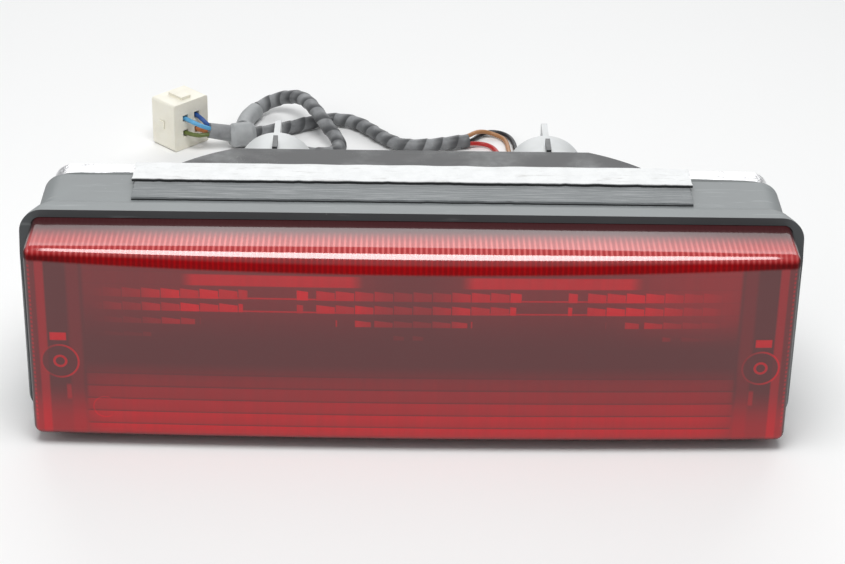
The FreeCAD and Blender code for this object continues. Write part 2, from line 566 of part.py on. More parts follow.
# ---- harness ------------------------------------------------------------------------------
def cord_tube(name, points, radius):
    """Saves one cord and prints its length and its tightest bend."""
    tube, path, radii = bent_tube(points, radius)
    ratio = tube.Volume / (math.pi * radius ** 2 * path.Length)
    print("   %-20s length %.1f  least radius %.1f (%.1f diameters)  volume ratio %.4f"
          % (name, path.Length, min(radii), min(radii) / (2 * radius), ratio))
    save(name, tube)


SOCKET_WIRES = {
    "wire_tan_right": [(58, 94, 66.3), (58, 106, 66.0), (57.8, 120, 58.5), (57.4, 134, 45.5), (56.8, 149, 31.5),
                       (55.8, 167, 17.5), (54.4, 187, 7.0), (53.0, 206, 2.2), (51.8, 223, 1.3),
                       (50.9, 237.0, 1.25), (50.2, 249.6, 1.25), (45.9, 255.2, 1.4), (39.4, 256.0, 3.2),
                       (34.6, 251.4, 4.9), (30.4, 244.8, 5.5), (24.5, 241.3, 5.3)],
    "wire_red_right": [(56.7, 94, 63.9), (56.6, 105.5, 63.3), (55.2, 119.5, 55.0), (53.6, 133, 42.0),
                       (52.3, 148, 28.0), (51.2, 166, 15.0), (50.1, 186, 5.3), (48.8, 204, 1.8),
                       (47.2, 221, 1.3), (45.4, 234.5, 1.25), (42.4, 242.2, 1.25), (37.2, 244.6, 1.7),
                       (30.6, 242.0, 2.7), (24.9, 239.9, 2.8)],
    "wire_black_right": [(59.3, 94, 63.9), (59.5, 105.5, 63.3), (60.6, 119.5, 55.0), (60.9, 133, 42.0),
                         (60.6, 148, 28.0), (59.6, 166, 15.0), (58.2, 186, 5.3), (56.9, 204, 1.8),
                         (55.6, 221, 1.3), (54.6, 237.0, 1.25), (53.6, 250.6, 1.25), (48.8, 258.8, 1.25),
                         (40.4, 260.2, 1.25), (35.4, 253.4, 1.25), (31.6, 246.2, 1.7), (24.1, 242.7, 2.7)],
    "wire_tan_left": [(-58, 94, 66.3), (-58, 106, 66.0), (-57.9, 120, 58.5), (-58.6, 134, 45.5),
                      (-59.8, 149, 31.5), (-61.4, 167, 17.5), (-63.2, 186, 7.0), (-65.0, 203, 2.2),
                      (-66.2, 214.5, 1.4), (-62.4, 223.4, 1.8), (-54.6, 226.2, 3.8), (-47.0, 225.4, 4.9)],
    "wire_red_left": [(-56.7, 94, 63.9), (-56.6, 105.5, 63.3), (-55.2, 119.5, 55.0), (-54.8, 133, 42.0),
                      (-55.6, 148, 28.0), (-57.0, 166, 15.0), (-58.8, 185, 5.3), (-60.6, 201, 1.8),
                      (-61.0, 211, 1.25), (-58.0, 218.4, 1.5), (-52.2, 222.6, 2.4), (-45.6, 223.2, 3.0)],
    "wire_black_left": [(-59.3, 94, 63.9), (-59.5, 105.5, 63.3), (-62.0, 119.5, 55.0), (-63.4, 133, 42.0),
                        (-64.8, 148, 28.0), (-66.4, 166, 15.0), (-68.2, 186, 5.3), (-70.0, 204, 1.8),
                        (-70.8, 218, 1.25), (-66.4, 228.2, 1.4), (-57.0, 229.6, 2.4), (-48.0, 227.0, 3.2)],
}

SLEEVES = {
    "sleeve_main": (SLEEVE_R, [(30.4, 243.4, 3.7), (20.0, 239.8, 3.7), (8.0, 236.2, 3.7), (-4.0, 236.8, 3.7),
                               (-13.2, 246.6, 3.7), (-21.6, 259.0, 3.7), (-28.4, 265.6, 3.7),
                               (-37.2, 268.2, 3.7), (-47.4, 264.9, 3.7), (-60.0, 257.2, 3.7),
                               (-70.6, 250.6, 4.2), (-79.4, 244.8, 5.2)]),
    "sleeve_loop": (LOOP_R, [(-83.8, 246.4, 5.6), (-83.9, 256.0, 4.6), (-82.6, 268.0, 3.9), (-77.8, 279.2, 4.4),
                             (-69.4, 285.4, 6.4), (-60.4, 281.4, 10.4), (-53.2, 270.6, 14.0),
                             (-46.2, 254.0, 14.0), (-40.2, 244.6, 9.2), (-34.4, 236.8, 5.2),
                             (-34.6, 229.8, 4.0), (-39.2, 224.9, 3.9), (-46.4, 224.0, 3.9),
                             (-52.8, 225.6, 3.9)]),
}

PLUG_CORNER = (-117.0, 233.0)   # the plug's nearest lower corner

FAN_WIRES = {
    "wire_blue": [(-81.6, 244.6, 6.3), (-86.1, 243.1, 7.6), (-93.2, 240.8, 9.8), (-100.2, 238.4, 12.0),
                  (-104.4, 241.0, 16.0), (-109.0, 245.9, 16.5)],
    "wire_sky": [(-80.8, 242.3, 6.3), (-85.2, 240.7, 7.6), (-92.2, 238.3, 9.7), (-99.6, 235.7, 12.0),
                 (-106.2, 233.8, 15.4), (-114.3, 240.6, 16.5)],
    "wire_orange": [(-82.2, 244.4, 3.9), (-86.8, 242.9, 5.1), (-93.8, 240.4, 7.3), (-100.9, 238.0, 9.2),
                    (-105.6, 242.2, 8.6), (-109.0, 245.9, 8.5)],
    "wire_olive": [(-81.4, 242.1, 3.9), (-86.0, 240.5, 5.1), (-93.0, 238.0, 7.2), (-100.2, 235.4, 9.2),
                   (-107.0, 234.0, 8.6), (-114.3, 240.6, 8.5)],
}


def plug_place(shape):
    """Turn and move a shape made with the plug's lower corner at the origin to where the plug lies."""
    shape.rotate(Vec(0, 0, 0), Vec(0, 0, 1), PLUG_TURN_DEG)
    shape.translate(Vec(PLUG_CORNER[0], PLUG_CORNER[1], 0))
    return shape


def make_plug():
    """Nylon plug with four wire ways, a latch, its terminals and the retainer across it."""
    body = Part.makeBox(PLUG_WIDTH, PLUG_LENGTH, PLUG_HEIGHT)
    body = body.makeFillet(1.2, [e for e in body.Edges if e.BoundBox.YLength > PLUG_LENGTH - 0.1])
    latch = Part.makeBox(6, PLUG_LENGTH * 0.6, 1.6, Vec(PLUG_WIDTH / 2 - 3, PLUG_LENGTH * 0.2, PLUG_HEIGHT - 0.2))
    body = join([body, latch])
    terminals = []
    wall, way = 2.2, 3.4
    for across in (0.33, 0.67):
        for up in (0.34, 0.66):
            cx, cz = PLUG_WIDTH * across, PLUG_HEIGHT * up
            body = body.cut(Part.makeBox(way, PLUG_LENGTH + 2, way, Vec(cx - way / 2, -1, cz - way / 2)))
            inset = way / 2 - 0.15
            barrel = Part.makeBox(2 * inset, PLUG_LENGTH - 5, 2 * inset, Vec(cx - inset, 3.5, cz - inset))
            slot = Part.makeBox(0.9, PLUG_LENGTH, 2.0, Vec(cx - 0.45, PLUG_LENGTH * 0.55, cz - 1.0))
            terminals.append(barrel.cut(slot))
    gap = 0.2
    retainer = Part.makeBox(PLUG_WIDTH + 1.6, 3.0, 4.0, Vec(-0.8, PLUG_LENGTH * 0.45, PLUG_HEIGHT * 0.5 - 2.0))
    groove = Part.makeBox(PLUG_WIDTH + 4, 3.0 + 2 * gap, 4.0 + 2 * gap,
                          Vec(-2, PLUG_LENGTH * 0.45 - gap, PLUG_HEIGHT * 0.5 - 2.0 - gap))
    body = body.cut(groove)
    save("plug_body", plug_place(body))
    save("plug_terminals", plug_place(Part.makeCompound(terminals)))
    save("plug_retainer", plug_place(retainer))


def make_harness():
    """Socket wires, sleeves, trunk, junction wrap, tape band, fan-out wires and the plug."""
    for name, route in SOCKET_WIRES.items():
        cord_tube(name, route, WIRE_R)
    for name, (radius, route) in SLEEVES.items():
        cord_tube(name, route, radius)
    for name, route in FAN_WIRES.items():
        cord_tube(name, route, WIRE_R)
    wrap_r, wrap_half = 6.2, 6.5
    profile = [(0.0, -wrap_half), (wrap_r - 1.4, -wrap_half), (wrap_r, -wrap_half + 2.2),
               (wrap_r, wrap_half - 2.2), (wrap_r - 1.4, wrap_half), (0.0, wrap_half)]
    wrap = lathe(0, 0, profile)
    wrap.rotate(Vec(0, 0, 0), Vec(0, 0, 1), -72)
    wrap.translate(Vec(-84.0, 242.0, wrap_r + 0.05))
    save("junction_wrap", wrap)
    start, end = Vec(-86.0, 241.8, 6.4), Vec(-100.2, 237.0, 10.6)
    trunk = Part.makeCone(TRUNK_R, TRUNK_R - 0.5, end.sub(start).Length, start, end.sub(start))
    save("trunk_sleeve", trunk)
    band = bent_tube([(-83.9, 252.5, 4.9), (-83.4, 261.0, 4.4), (-82.0, 268.4, 4.35), (-78.8, 275.2, 4.6)],
                     LOOP_R + 0.5)[0]
    save("tape_band", band)
    make_plug()


make_lens()
make_lens_gasket()
make_housing()
make_fasteners()
make_reflector()
make_boot()
make_strips()
for label, sign in SIDES:
    centre_x = sign * BULB_SPAN / 2
    front_of_tube = make_socket(label, centre_x)
    make_contacts(label, centre_x, front_of_tube)
    make_bulb(label, centre_x)
make_harness()
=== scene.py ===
"""Looks of a motorcycle-type rear brake light: red lens, rubber boot, housing, sockets and taped lead."""

import logging
import math
from contextlib import contextmanager
from dataclasses import dataclass
from enum import Enum
from typing import Callable, Iterator, Sequence, Union

import bmesh
import bpy
from mathutils import Matrix, Vector, noise


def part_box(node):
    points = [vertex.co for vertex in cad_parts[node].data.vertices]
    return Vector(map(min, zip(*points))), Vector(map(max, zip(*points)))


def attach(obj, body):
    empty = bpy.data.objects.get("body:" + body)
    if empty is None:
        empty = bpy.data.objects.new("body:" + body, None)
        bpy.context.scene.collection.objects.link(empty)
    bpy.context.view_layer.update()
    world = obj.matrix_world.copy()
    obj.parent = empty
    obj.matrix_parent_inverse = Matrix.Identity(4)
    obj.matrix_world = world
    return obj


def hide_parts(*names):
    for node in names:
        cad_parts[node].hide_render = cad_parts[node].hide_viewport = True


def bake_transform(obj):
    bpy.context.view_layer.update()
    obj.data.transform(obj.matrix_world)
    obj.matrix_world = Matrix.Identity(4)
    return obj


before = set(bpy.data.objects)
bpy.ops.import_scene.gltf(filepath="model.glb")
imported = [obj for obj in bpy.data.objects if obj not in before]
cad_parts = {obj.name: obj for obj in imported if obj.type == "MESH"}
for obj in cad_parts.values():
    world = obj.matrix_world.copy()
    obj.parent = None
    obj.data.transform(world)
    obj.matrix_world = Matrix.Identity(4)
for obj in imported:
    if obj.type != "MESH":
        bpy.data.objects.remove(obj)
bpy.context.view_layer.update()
log = logging.getLogger("brake_light")

MM = 0.001
Colour = tuple[float, float, float]
Point = tuple[float, float, float]
Number = Union[float, "Val"]


# ---- shader values ------------------------------------------------------------------------
class Val:
    """A number in a shader tree; arithmetic on it adds Math nodes."""

    def __init__(self, graph: "Graph", socket: bpy.types.NodeSocket) -> None:
        """Keeps the socket that carries the number."""
        self.graph, self.socket = graph, socket

    def math(self, operation: str, *others: Number, clamp: bool = False) -> "Val":
        """Adds one Math node.

        Args:
            operation: the node's operation.
            others: the values of its further inputs.
            clamp: keeps the result from 0 to 1.

        Returns:
            The node's result.
        """
        inputs = {0: self, **{k + 1: v for k, v in enumerate(others)}}
        return self.graph.node("ShaderNodeMath", inputs, operation=operation, use_clamp=clamp)

    def __add__(self, other: Number) -> "Val":
        """Sum."""
        return self.math("ADD", other)

    __radd__ = __add__

    def __mul__(self, other: Number) -> "Val":
        """Product."""
        return self.math("MULTIPLY", other)

    __rmul__ = __mul__

    def __sub__(self, other: Number) -> "Val":
        """Difference."""
        return self.math("SUBTRACT", other)

    def __rsub__(self, other: float) -> "Val":
        """Difference from a plain number."""
        return self.math("MULTIPLY_ADD", -1.0, other)

    def __truediv__(self, other: float) -> "Val":
        """Share of a plain number."""
        return self.math("MULTIPLY", 1.0 / other)

    def size(self) -> "Val":
        """The number without its sign."""
        return self.math("ABSOLUTE")

    def fraction(self) -> "Val":
        """What is left after the whole part."""
        return self.math("FRACT")

    def least(self, other: Number) -> "Val":
        """The smaller of two."""
        return self.math("MINIMUM", other)

    def most(self, other: Number) -> "Val":
        """The larger of two."""
        return self.math("MAXIMUM", other)

    def limited(self) -> "Val":
        """The number kept from 0 to 1."""
        return self.math("ADD", 0.0, clamp=True)

    def rise(self, start: float, end: float) -> "Val":
        """Goes from 0 at start to 1 at end, smoothly; start may be above end."""
        inputs = {"Value": self, "From Min": start, "From Max": end}
        return self.graph.node("ShaderNodeMapRange", inputs, interpolation_type="SMOOTHSTEP", clamp=True)

    def within(self, low: float, high: float, soft: float) -> "Val":
        """1 between low and high with soft edges, and 0 outside."""
        return self.rise(low - soft, low + soft) * self.rise(high + soft, high - soft)


class Graph:
    """A material under construction, with one method that adds any node."""

    def __init__(self, name: str) -> None:
        """Starts a material that has only its surface shader."""
        self.material = bpy.data.materials.new(name)
        self.material.use_nodes = True
        self.tree = self.material.node_tree
        self.shader = next(n for n in self.tree.nodes if n.type == "BSDF_PRINCIPLED")
        self.place = self.node("ShaderNodeTexCoord", {}, out="Object").socket
        self.x, self.y, self.z = self.split(self.place)

    def node(self, kind: str, inputs: dict, out: Union[int, str] = 0, ramp: Sequence = (), **settings) -> Val:
        """Adds a node.

        Args:
            kind: the node's type.
            inputs: socket name or number to a value, a Val or a socket.
            out: which output is returned.
            ramp: for a colour ramp, pairs of position and colour.
            settings: the node's own properties, set before its sockets.

        Returns:
            The chosen output.
        """
        made = self.tree.nodes.new(kind)
        for key, value in settings.items():
            setattr(made, key, value)
        if ramp:
            stops = made.color_ramp.elements
            while len(stops) < len(ramp):
                stops.new(0.5)
            for stop, (position, colour) in zip(stops, ramp):
                stop.position, stop.color = position, (*colour, 1.0)
        for key, value in inputs.items():
            self.join(value, made.inputs[key])
        return Val(self, made.outputs[out])

    def join(self, value, socket: bpy.types.NodeSocket) -> None:
        """Sets a socket to a value, or links a Val or another socket to it."""
        if isinstance(value, Val):
            value = value.socket
        if isinstance(value, bpy.types.NodeSocket):
            self.tree.links.new(value, socket)
        elif isinstance(value, tuple) and len(value) == 3 and socket.type == "RGBA":
            socket.default_value = (*value, 1.0)
        else:
            socket.default_value = value

    def split(self, vector: bpy.types.NodeSocket) -> list[Val]:
        """The three numbers of a vector, in millimetres for a place."""
        node = self.node("ShaderNodeSeparateXYZ", {0: vector}).socket.node
        return [Val(self, node.outputs[k]) * 1000.0 for k in range(3)]

    def along(self, x: Number, y: Number, z: Number) -> bpy.types.NodeSocket:
        """A vector of three numbers."""
        return self.node("ShaderNodeCombineXYZ", {0: x, 1: y, 2: z}).socket

    def grain(self, scale: float, detail: float = 3.0, roughness: float = 0.5, place=None, warp: float = 0.0) -> Val:
        """Cloudy noise from 0 to 1, about 0.5, with scale in features per metre."""
        inputs = {"Vector": place or self.place, "Scale": scale, "Detail": detail, "Roughness": roughness,
                  "Distortion": warp}
        return self.node("ShaderNodeTexNoise", inputs)

    def cells(self, scale: float, feature: str = "F1", place=None) -> Val:
        """Distance to the nearest of many scattered points."""
        return self.node("ShaderNodeTexVoronoi", {"Vector": place or self.place, "Scale": scale}, feature=feature)

    def blend(self, share: Number, first, second) -> bpy.types.NodeSocket:
        """A colour between two."""
        inputs = {0: share, 6: first, 7: second}
        return self.node("ShaderNodeMix", inputs, out=2, data_type="RGBA", clamp_factor=True).socket

    def relief(self, height: Val, depth_mm: float, strength: float = 1.0) -> bpy.types.NodeSocket:
        """A normal for a height from 0 to 1 that stands for a depth in millimetres."""
        inputs = {"Height": height, "Distance": depth_mm * MM, "Strength": strength}
        return self.node("ShaderNodeBump", inputs).socket

    def finish(self, **sockets) -> bpy.types.Material:
        """Sets the surface shader's sockets.

        Args:
            sockets: names with _ for a space, to values or links.

        Returns:
            The material.
        """
        for key, value in sockets.items():
            self.join(value, self.shader.inputs[key.replace("_", " ")])
        return self.material


# ---- finishes -----------------------------------------------------------------------------
class Metal(Enum):
    """The metals of the small parts: colour and roughness."""

    ZINC = ((0.62, 0.61, 0.58), 0.36)
    BRASS = ((0.72, 0.52, 0.22), 0.34)
    SPRING = ((0.50, 0.50, 0.51), 0.28)
    TIN = ((0.66, 0.65, 0.62), 0.40)
    TUNGSTEN = ((0.20, 0.19, 0.18), 0.45)
    SILVERED = ((0.80, 0.80, 0.80), 0.14)


class Insulation(Enum):
    """Colours of the wires."""

    TAN = (0.40, 0.19, 0.075)
    RED = (0.45, 0.015, 0.012)
    BLACK = (0.016, 0.016, 0.018)
    BLUE = (0.012, 0.070, 0.28)
    SKY = (0.10, 0.36, 0.62)
    ORANGE = (0.42, 0.13, 0.035)
    OLIVE = (0.11, 0.14, 0.030)


@dataclass(frozen=True)
class LensRed:
    """Clear red acrylic over moulded prisms under a smooth hard gloss, with its light painted: painted lit prisms,
    painted shadows round the bulbs and a painted glow along the top.
    """

    pitch_x: float = 7.5
    pitch_z: float = 5.72
    grid_z: float = 73.95
    bulb_x: float = 53.0
    rib_pitch: float = 2.1
    post_x: float = 137.6
    post_z: float = 39.0
    # Painted light: the first two colours are the lens red where unlit and where lit; crown is the painted glow along
    # the front-top rounding, and murk is the top's red where it is painted brighter away from the lip.
    shaded_red: Colour = (0.118, 0.026, 0.028)
    bright: Colour = (0.60, 0.010, 0.018)
    crown: Colour = (0.33, 0.003, 0.005)
    murk: Colour = (0.40, 0.016, 0.018)
    pink: Colour = (0.68, 0.125, 0.120)
    crown_x: float = 144.0
    crown_z: float = 79.6

    def painted_block_light(self, g: Graph) -> Val:
        """Painted light on each prism block of the upper half: how brightly it is lit, with painted shadows round the
        bulbs.
        """
        row, column = (g.z - self.grid_z) / self.pitch_z, g.x / self.pitch_x
        level, in_row, in_column = row.math("FLOOR"), row.fraction(), column.fraction()
        centre_x = (column.math("FLOOR") + 0.5) * self.pitch_x
        centre_z = (level + 0.3) * self.pitch_z + self.grid_z
        # Painted shadow: the unlit patch round each bulb, wider in the lower rows.
        shadow = (65.0 - centre_z).most(0.0) * 3.1 + 6.5
        wide = ((centre_x.size() - self.bulb_x).size() - shadow).rise(-3.0, 12.0)
        uneven = g.node("ShaderNodeTexWhiteNoise", {0: g.along(column.math("FLOOR"), level, 0.0)}, out="Value")
        lit = (centre_z - 51.0).rise(-4.0, 20.0) * 0.46 + 0.34
        tall = (lit - in_row - in_column * 0.16).rise(-0.02, 0.05) * in_row.rise(0.0, 0.04)
        broad = (wide * 1.1 - in_column).rise(-0.03, 0.04) * in_column.rise(0.02, 0.08)
        # Painted shade: dimmer between the bulbs and towards the ends.
        middle = g.x.size().rise(8.0, 26.0) * 0.55 + 0.45
        outer = g.x.size().rise(112.0, 84.0) * 0.75 + 0.25
        strength = (uneven * 0.45 + 0.55) * centre_z.rise(44.0, 66.0) * middle * outer
        # Painted light: a thin lit line at the bottom of the upper rows, across the painted shadow.
        painted_lit_line = (in_row.within(0.05, 0.17, 0.04) * centre_z.rise(60.0, 64.0)
                  * g.x.size().within(24.0, 92.0, 3.0) * 0.6)
        return (tall * broad * strength).most(painted_lit_line) * g.x.size().rise(126.0, 110.0) * g.z.rise(74.1, 73.7)

    def painted_bar_light(self, g: Graph) -> Val:
        """Painted light on the long steps: each painted brightest at its top, and brighter towards the bottom."""
        in_row = ((g.z - self.grid_z) / self.pitch_z).fraction()
        step = in_row * 0.40 + 0.60 - in_row.rise(0.16, 0.04) * 0.35
        low = g.z.rise(40.0, 29.0) * 0.34 + g.z.rise(33.0, 10.0) * 0.66
        return step * low * (g.x.size().rise(136.0, 116.0) * 0.45 + 0.55)

    def gap(self, g: Graph, x: float, z: float) -> Val:
        """Distance from a place on the front."""
        return g.node("ShaderNodeVectorMath", {0: g.along(g.x, 0.0, g.z), 1: (x, 0.0, z)}, out="Value",
                      operation="DISTANCE")

    def ends(self, g: Graph, red: Val) -> Val:
        """Adds painted light beyond the prisms: the upright stripes, brighter towards the bottom, and the screw posts,
        painted darker with painted highlight rings.
        """
        across = g.x.size()
        edge = across.rise(126.5, 128.5)
        stripes = across.within(142.2, 145.6, 0.5) * 0.42 + across.within(128.5, 133.6, 0.8) * 0.12
        stripes = stripes + g.z.rise(30.0, 10.0) * 0.50 + across.within(145.8, 148.4, 0.5) * 0.10
        stripes = stripes + across.within(134.8, 141.2, 0.3) * g.z.within(48.4, 51.8, 0.3) * 0.9
        stripes = stripes + across.within(133.8, 135.6, 0.4) * g.z.within(22.0, 28.5, 0.8) * 0.35
        red = red * (1.0 - edge) + edge * stripes.limited()
        for side in (-1.0, 1.0):
            gap = self.gap(g, side * self.post_x, self.post_z)
            # Painted shade and highlight: each post's disc is painted darker, with a painted highlight ring round it
            # that is brighter on its right side.
            red = red * (1.0 - gap.rise(7.6, 6.8) * 0.90)
            lit = g.x.rise(side * self.post_x - 6.0, side * self.post_x + 5.0) * 0.5 + 0.2
            red = red + (gap - 7.2).size().rise(0.55, 0.2) * lit + (gap - 2.3).size().rise(0.7, 0.25) * 0.75
        dots = (g.z / 1.9).fraction().within(0.25, 0.75, 0.2)
        # Painted highlight: a small ring on the left end, brighter on its left side.
        red = red + (self.gap(g, -120.8, 18.6) - 4.6).size().rise(0.4, 0.15) * g.x.rise(-117.5, -120.0) * 0.35
        return red + across.within(147.6, 148.4, 0.2) * dots * g.z.within(12.0, 82.0, 2.0) * 0.5

    def build(self) -> bpy.types.Material:
        """Makes the material."""
        g = Graph("lens_red_acrylic")
        across = g.x.size()
        rib = (g.x / self.rib_pitch).fraction().within(0.30, 0.70, 0.14)
        cloud = g.grain(26.0, 4.0)
        streak = g.grain(1.0, 3.0, place=g.along(g.x * 0.35, 0.0, g.z * 0.02))
        lit, painted_bar_light = self.painted_block_light(g), self.painted_bar_light(g)
        row = ((g.z - self.grid_z) / self.pitch_z).fraction()
        # Painted light: a lit band above the prisms round each bulb, a painted haze brightening towards the top, and
        # more light painted on the right side.
        band = g.z.within(74.1, 79.0, 0.3) * (across - 54.0).size().rise(36.0, 29.0) * 0.62
        painted_haze = g.z.rise(46.0, 74.0) * (across.rise(2.0, 30.0) * 0.08 + 0.08)
        right = g.x.rise(70.0, 112.0) * g.z.rise(46.0, 64.0) * 0.18
        red = (lit * 0.92).most(band).most(painted_bar_light * 0.98) + painted_haze + right
        red = red * (streak * 0.4 + 0.8) * (1.0 - row.within(0.0, 0.05, 0.02) * 0.25)
        red = self.ends(g, red)
        # Painted light: the colour runs from the unlit red to the lit red by how lit each place is painted.
        base = g.blend(red.limited(), self.shaded_red, self.bright)
        # Painted glow: the front-top rounding is painted deep red, as light passing through it, dimmer towards its
        # ends.
        bend = (g.x / self.crown_x).math("POWER", 2.0).least(1.0)
        arch = bend * 3.2 + g.z * -1.0 + self.crown_z
        over = arch.rise(0.5, -0.9)
        painted_crown_glow = (rib * 0.35 + 0.65) * (across.rise(146.0, 110.0) * 0.6 + 0.4) * (cloud * 0.8 + 0.6)
        base = g.blend(over, base, g.blend(painted_crown_glow.limited(), (0.035, 0.004, 0.005), self.crown))
        # Painted shade on the top face: its red between the ribs is painted near black by the lip and brighter towards
        # the front.
        lid = g.z.rise(84.6, 87.0)
        ridge = rib * g.y.rise(-25.0, -37.0) * (across.rise(149.0, 110.0) * 0.5 + 0.5)
        depth = g.y.rise(-22.0, -38.0)
        inside = g.blend(depth, (0.060, 0.012, 0.014), self.murk)
        base = g.blend(lid, base, g.blend((ridge * (cloud + 0.5)).limited(), inside, self.pink))
        # Painted shade: the lens's side walls are painted near black.
        base = g.blend(across.rise(148.4, 149.3) * 0.85, base, (0.022, 0.010, 0.011))
        # Painted shade: the bottom edge by the floor is painted darker.
        base = g.blend(g.z.rise(7.6, 5.4) * 0.75, base, (0.03, 0.008, 0.009))
        film = g.grain(140.0, 5.0, 0.62).rise(0.52, 0.80)
        line = (g.z - bend * 3.0).rise(82.8, 84.2)
        top = g.z.rise(86.4, 87.6) * g.y.rise(-41.0, -36.0)
        shine = (1.0 - over) * 0.37 + line * (0.92 - across.rise(70.0, 148.0) * 0.22) - top * 0.34
        height = lit * 0.5 + painted_bar_light * 0.3 + rib * over * 0.8
        return g.finish(Base_Color=base, Roughness=0.40 + film * 0.2, Normal=g.relief(height, 0.30, 0.5),
                        Specular_IOR_Level=0.05, Coat_Weight=shine, Coat_Roughness=0.08, Coat_IOR=2.0)


@dataclass(frozen=True)
class BlackMoulding:
    """Old black moulded plastic under a film of grey dust."""

    name: str = "housing_black_moulding"
    colour: Colour = (0.030, 0.031, 0.033)
    dust: Colour = (0.520, 0.535, 0.532)
    dustiness: float = 0.95
    roughness: float = 0.44

    def build(self) -> bpy.types.Material:
        """Makes the material."""
        g = Graph(self.name)
        film = g.grain(14.0, 5.0, 0.6).rise(0.38, 0.72)
        specks = g.cells(900.0).rise(0.22, 0.10) * g.grain(60.0, 2.0).rise(0.5, 0.7)
        up = g.split(g.node("ShaderNodeNewGeometry", {}, out="Normal").socket)[2] / 1000.0
        cover = (film * self.dustiness * (up.rise(-0.2, 0.9) * 0.8 + 0.2) + specks * 0.35).limited()
        scratch = g.grain(1.0, 2.0, place=g.along(g.x * 0.05, g.y * 0.9, g.z * 0.9)).rise(0.60, 0.66)
        return g.finish(Base_Color=g.blend(cover, self.colour, self.dust), Roughness=self.roughness + cover * 0.3,
                        Normal=g.relief(g.grain(1500.0, 2.0) + scratch * 0.6, 0.03, 0.6), Specular_IOR_Level=0.5)


@dataclass(frozen=True)
class Rubber:
    """Satin black rubber with scuffs and nicks, and a painted grey sheen on its upward faces, where light falls on it.
    """

    name: str = "boot_satin_rubber"
    colour: Colour = (0.030, 0.033, 0.036)
    painted_sheen: Colour = (0.275, 0.295, 0.298)
    painted_sheen_share: float = 0.92
    roughness: float = 0.46

    def build(self) -> bpy.types.Material:
        """Makes the material."""
        g = Graph(self.name)
        cloud = g.grain(11.0, 5.0, 0.6).rise(0.30, 0.70)
        scuffs = g.grain(1.0, 3.0, 0.6, place=g.along(g.x * 0.028, g.y * 0.30, g.z * 0.30)).rise(0.60, 0.74)
        nicks = g.cells(260.0).rise(0.09, 0.05) * g.grain(30.0, 2.0).rise(0.55, 0.7)
        up = g.split(g.node("ShaderNodeNewGeometry", {}, out="Normal").socket)[2] / 1000.0
        # Painted sheen: the upward faces are painted grey where light falls on them; the scuffs and nicks below are
        # real wear.
        sheen_on_top = self.painted_sheen_share * (cloud * 0.25 + 0.75) * (up.rise(0.1, 0.8) * 0.80 + 0.20)
        share = sheen_on_top + scuffs * 0.22 + nicks * 0.5
        height = g.grain(420.0, 3.0, 0.6) * 0.5 + g.grain(34.0, 3.0) * 1.6 + scuffs * 0.25
        return g.finish(Base_Color=g.blend(share.limited(), self.colour, self.painted_sheen),
                        Roughness=self.roughness + cloud * 0.10 - scuffs * 0.08,
                        Normal=g.relief(height, 0.09, 0.55), Specular_IOR_Level=0.5)


@dataclass(frozen=True)
class Felt:
    """Dark grey foam pad, pulled into streaks along its length."""

    def build(self) -> bpy.types.Material:
        """Makes the material."""
        g = Graph("foam_grey_felt")
        streak = g.grain(1.0, 5.0, 0.65, place=g.along(g.x * 0.05, g.y * 1.3, g.z * 1.3)).rise(0.42, 0.66)
        fibre = g.grain(900.0, 3.0)
        shade = g.blend(streak, (0.215, 0.228, 0.232), (0.345, 0.358, 0.365))
        # Painted shade: the pad's sides, below its top, are painted near black.
        shade = g.blend(g.z.rise(90.9, 90.5), shade, (0.030, 0.032, 0.034))
        return g.finish(Base_Color=shade, Roughness=0.72 + fibre * 0.15,
                        Normal=g.relief(streak * 0.6 + fibre * 0.4, 0.22, 0.8), Specular_IOR_Level=0.35)


@dataclass(frozen=True)
class WhiteFoam:
    """White foam tape with small pits, a few grubby marks and a painted shadow line along its front face."""

    def build(self) -> bpy.types.Material:
        """Makes the material."""
        g = Graph("strip_white_foam")
        grub = g.grain(1.0, 4.0, 0.6, place=g.along(g.x * 0.10, g.y * 0.5, g.z * 0.5)).rise(0.56, 0.78)
        pits = g.cells(1100.0).rise(0.30, 0.12)
        mottle = g.grain(150.0, 4.0, 0.6)
        white = g.blend(mottle.rise(0.35, 0.7) * 0.6, (0.80, 0.81, 0.81), (0.70, 0.71, 0.71))
        shade = g.blend(grub * 0.6 + pits * 0.08, white, (0.40, 0.39, 0.37))
        # Painted shadow: the strip's front face, below its top, is painted near black as the shadow line under its
        # front edge.
        edge = g.z.rise(92.75, 92.45) * g.y.rise(14.0, 12.5)
        return g.finish(Base_Color=g.blend(edge, shade, (0.020, 0.021, 0.022)), Roughness=0.62 + pits * 0.2,
                        Normal=g.relief(mottle + pits * -0.4, 0.16, 0.7), Specular_IOR_Level=0.4)


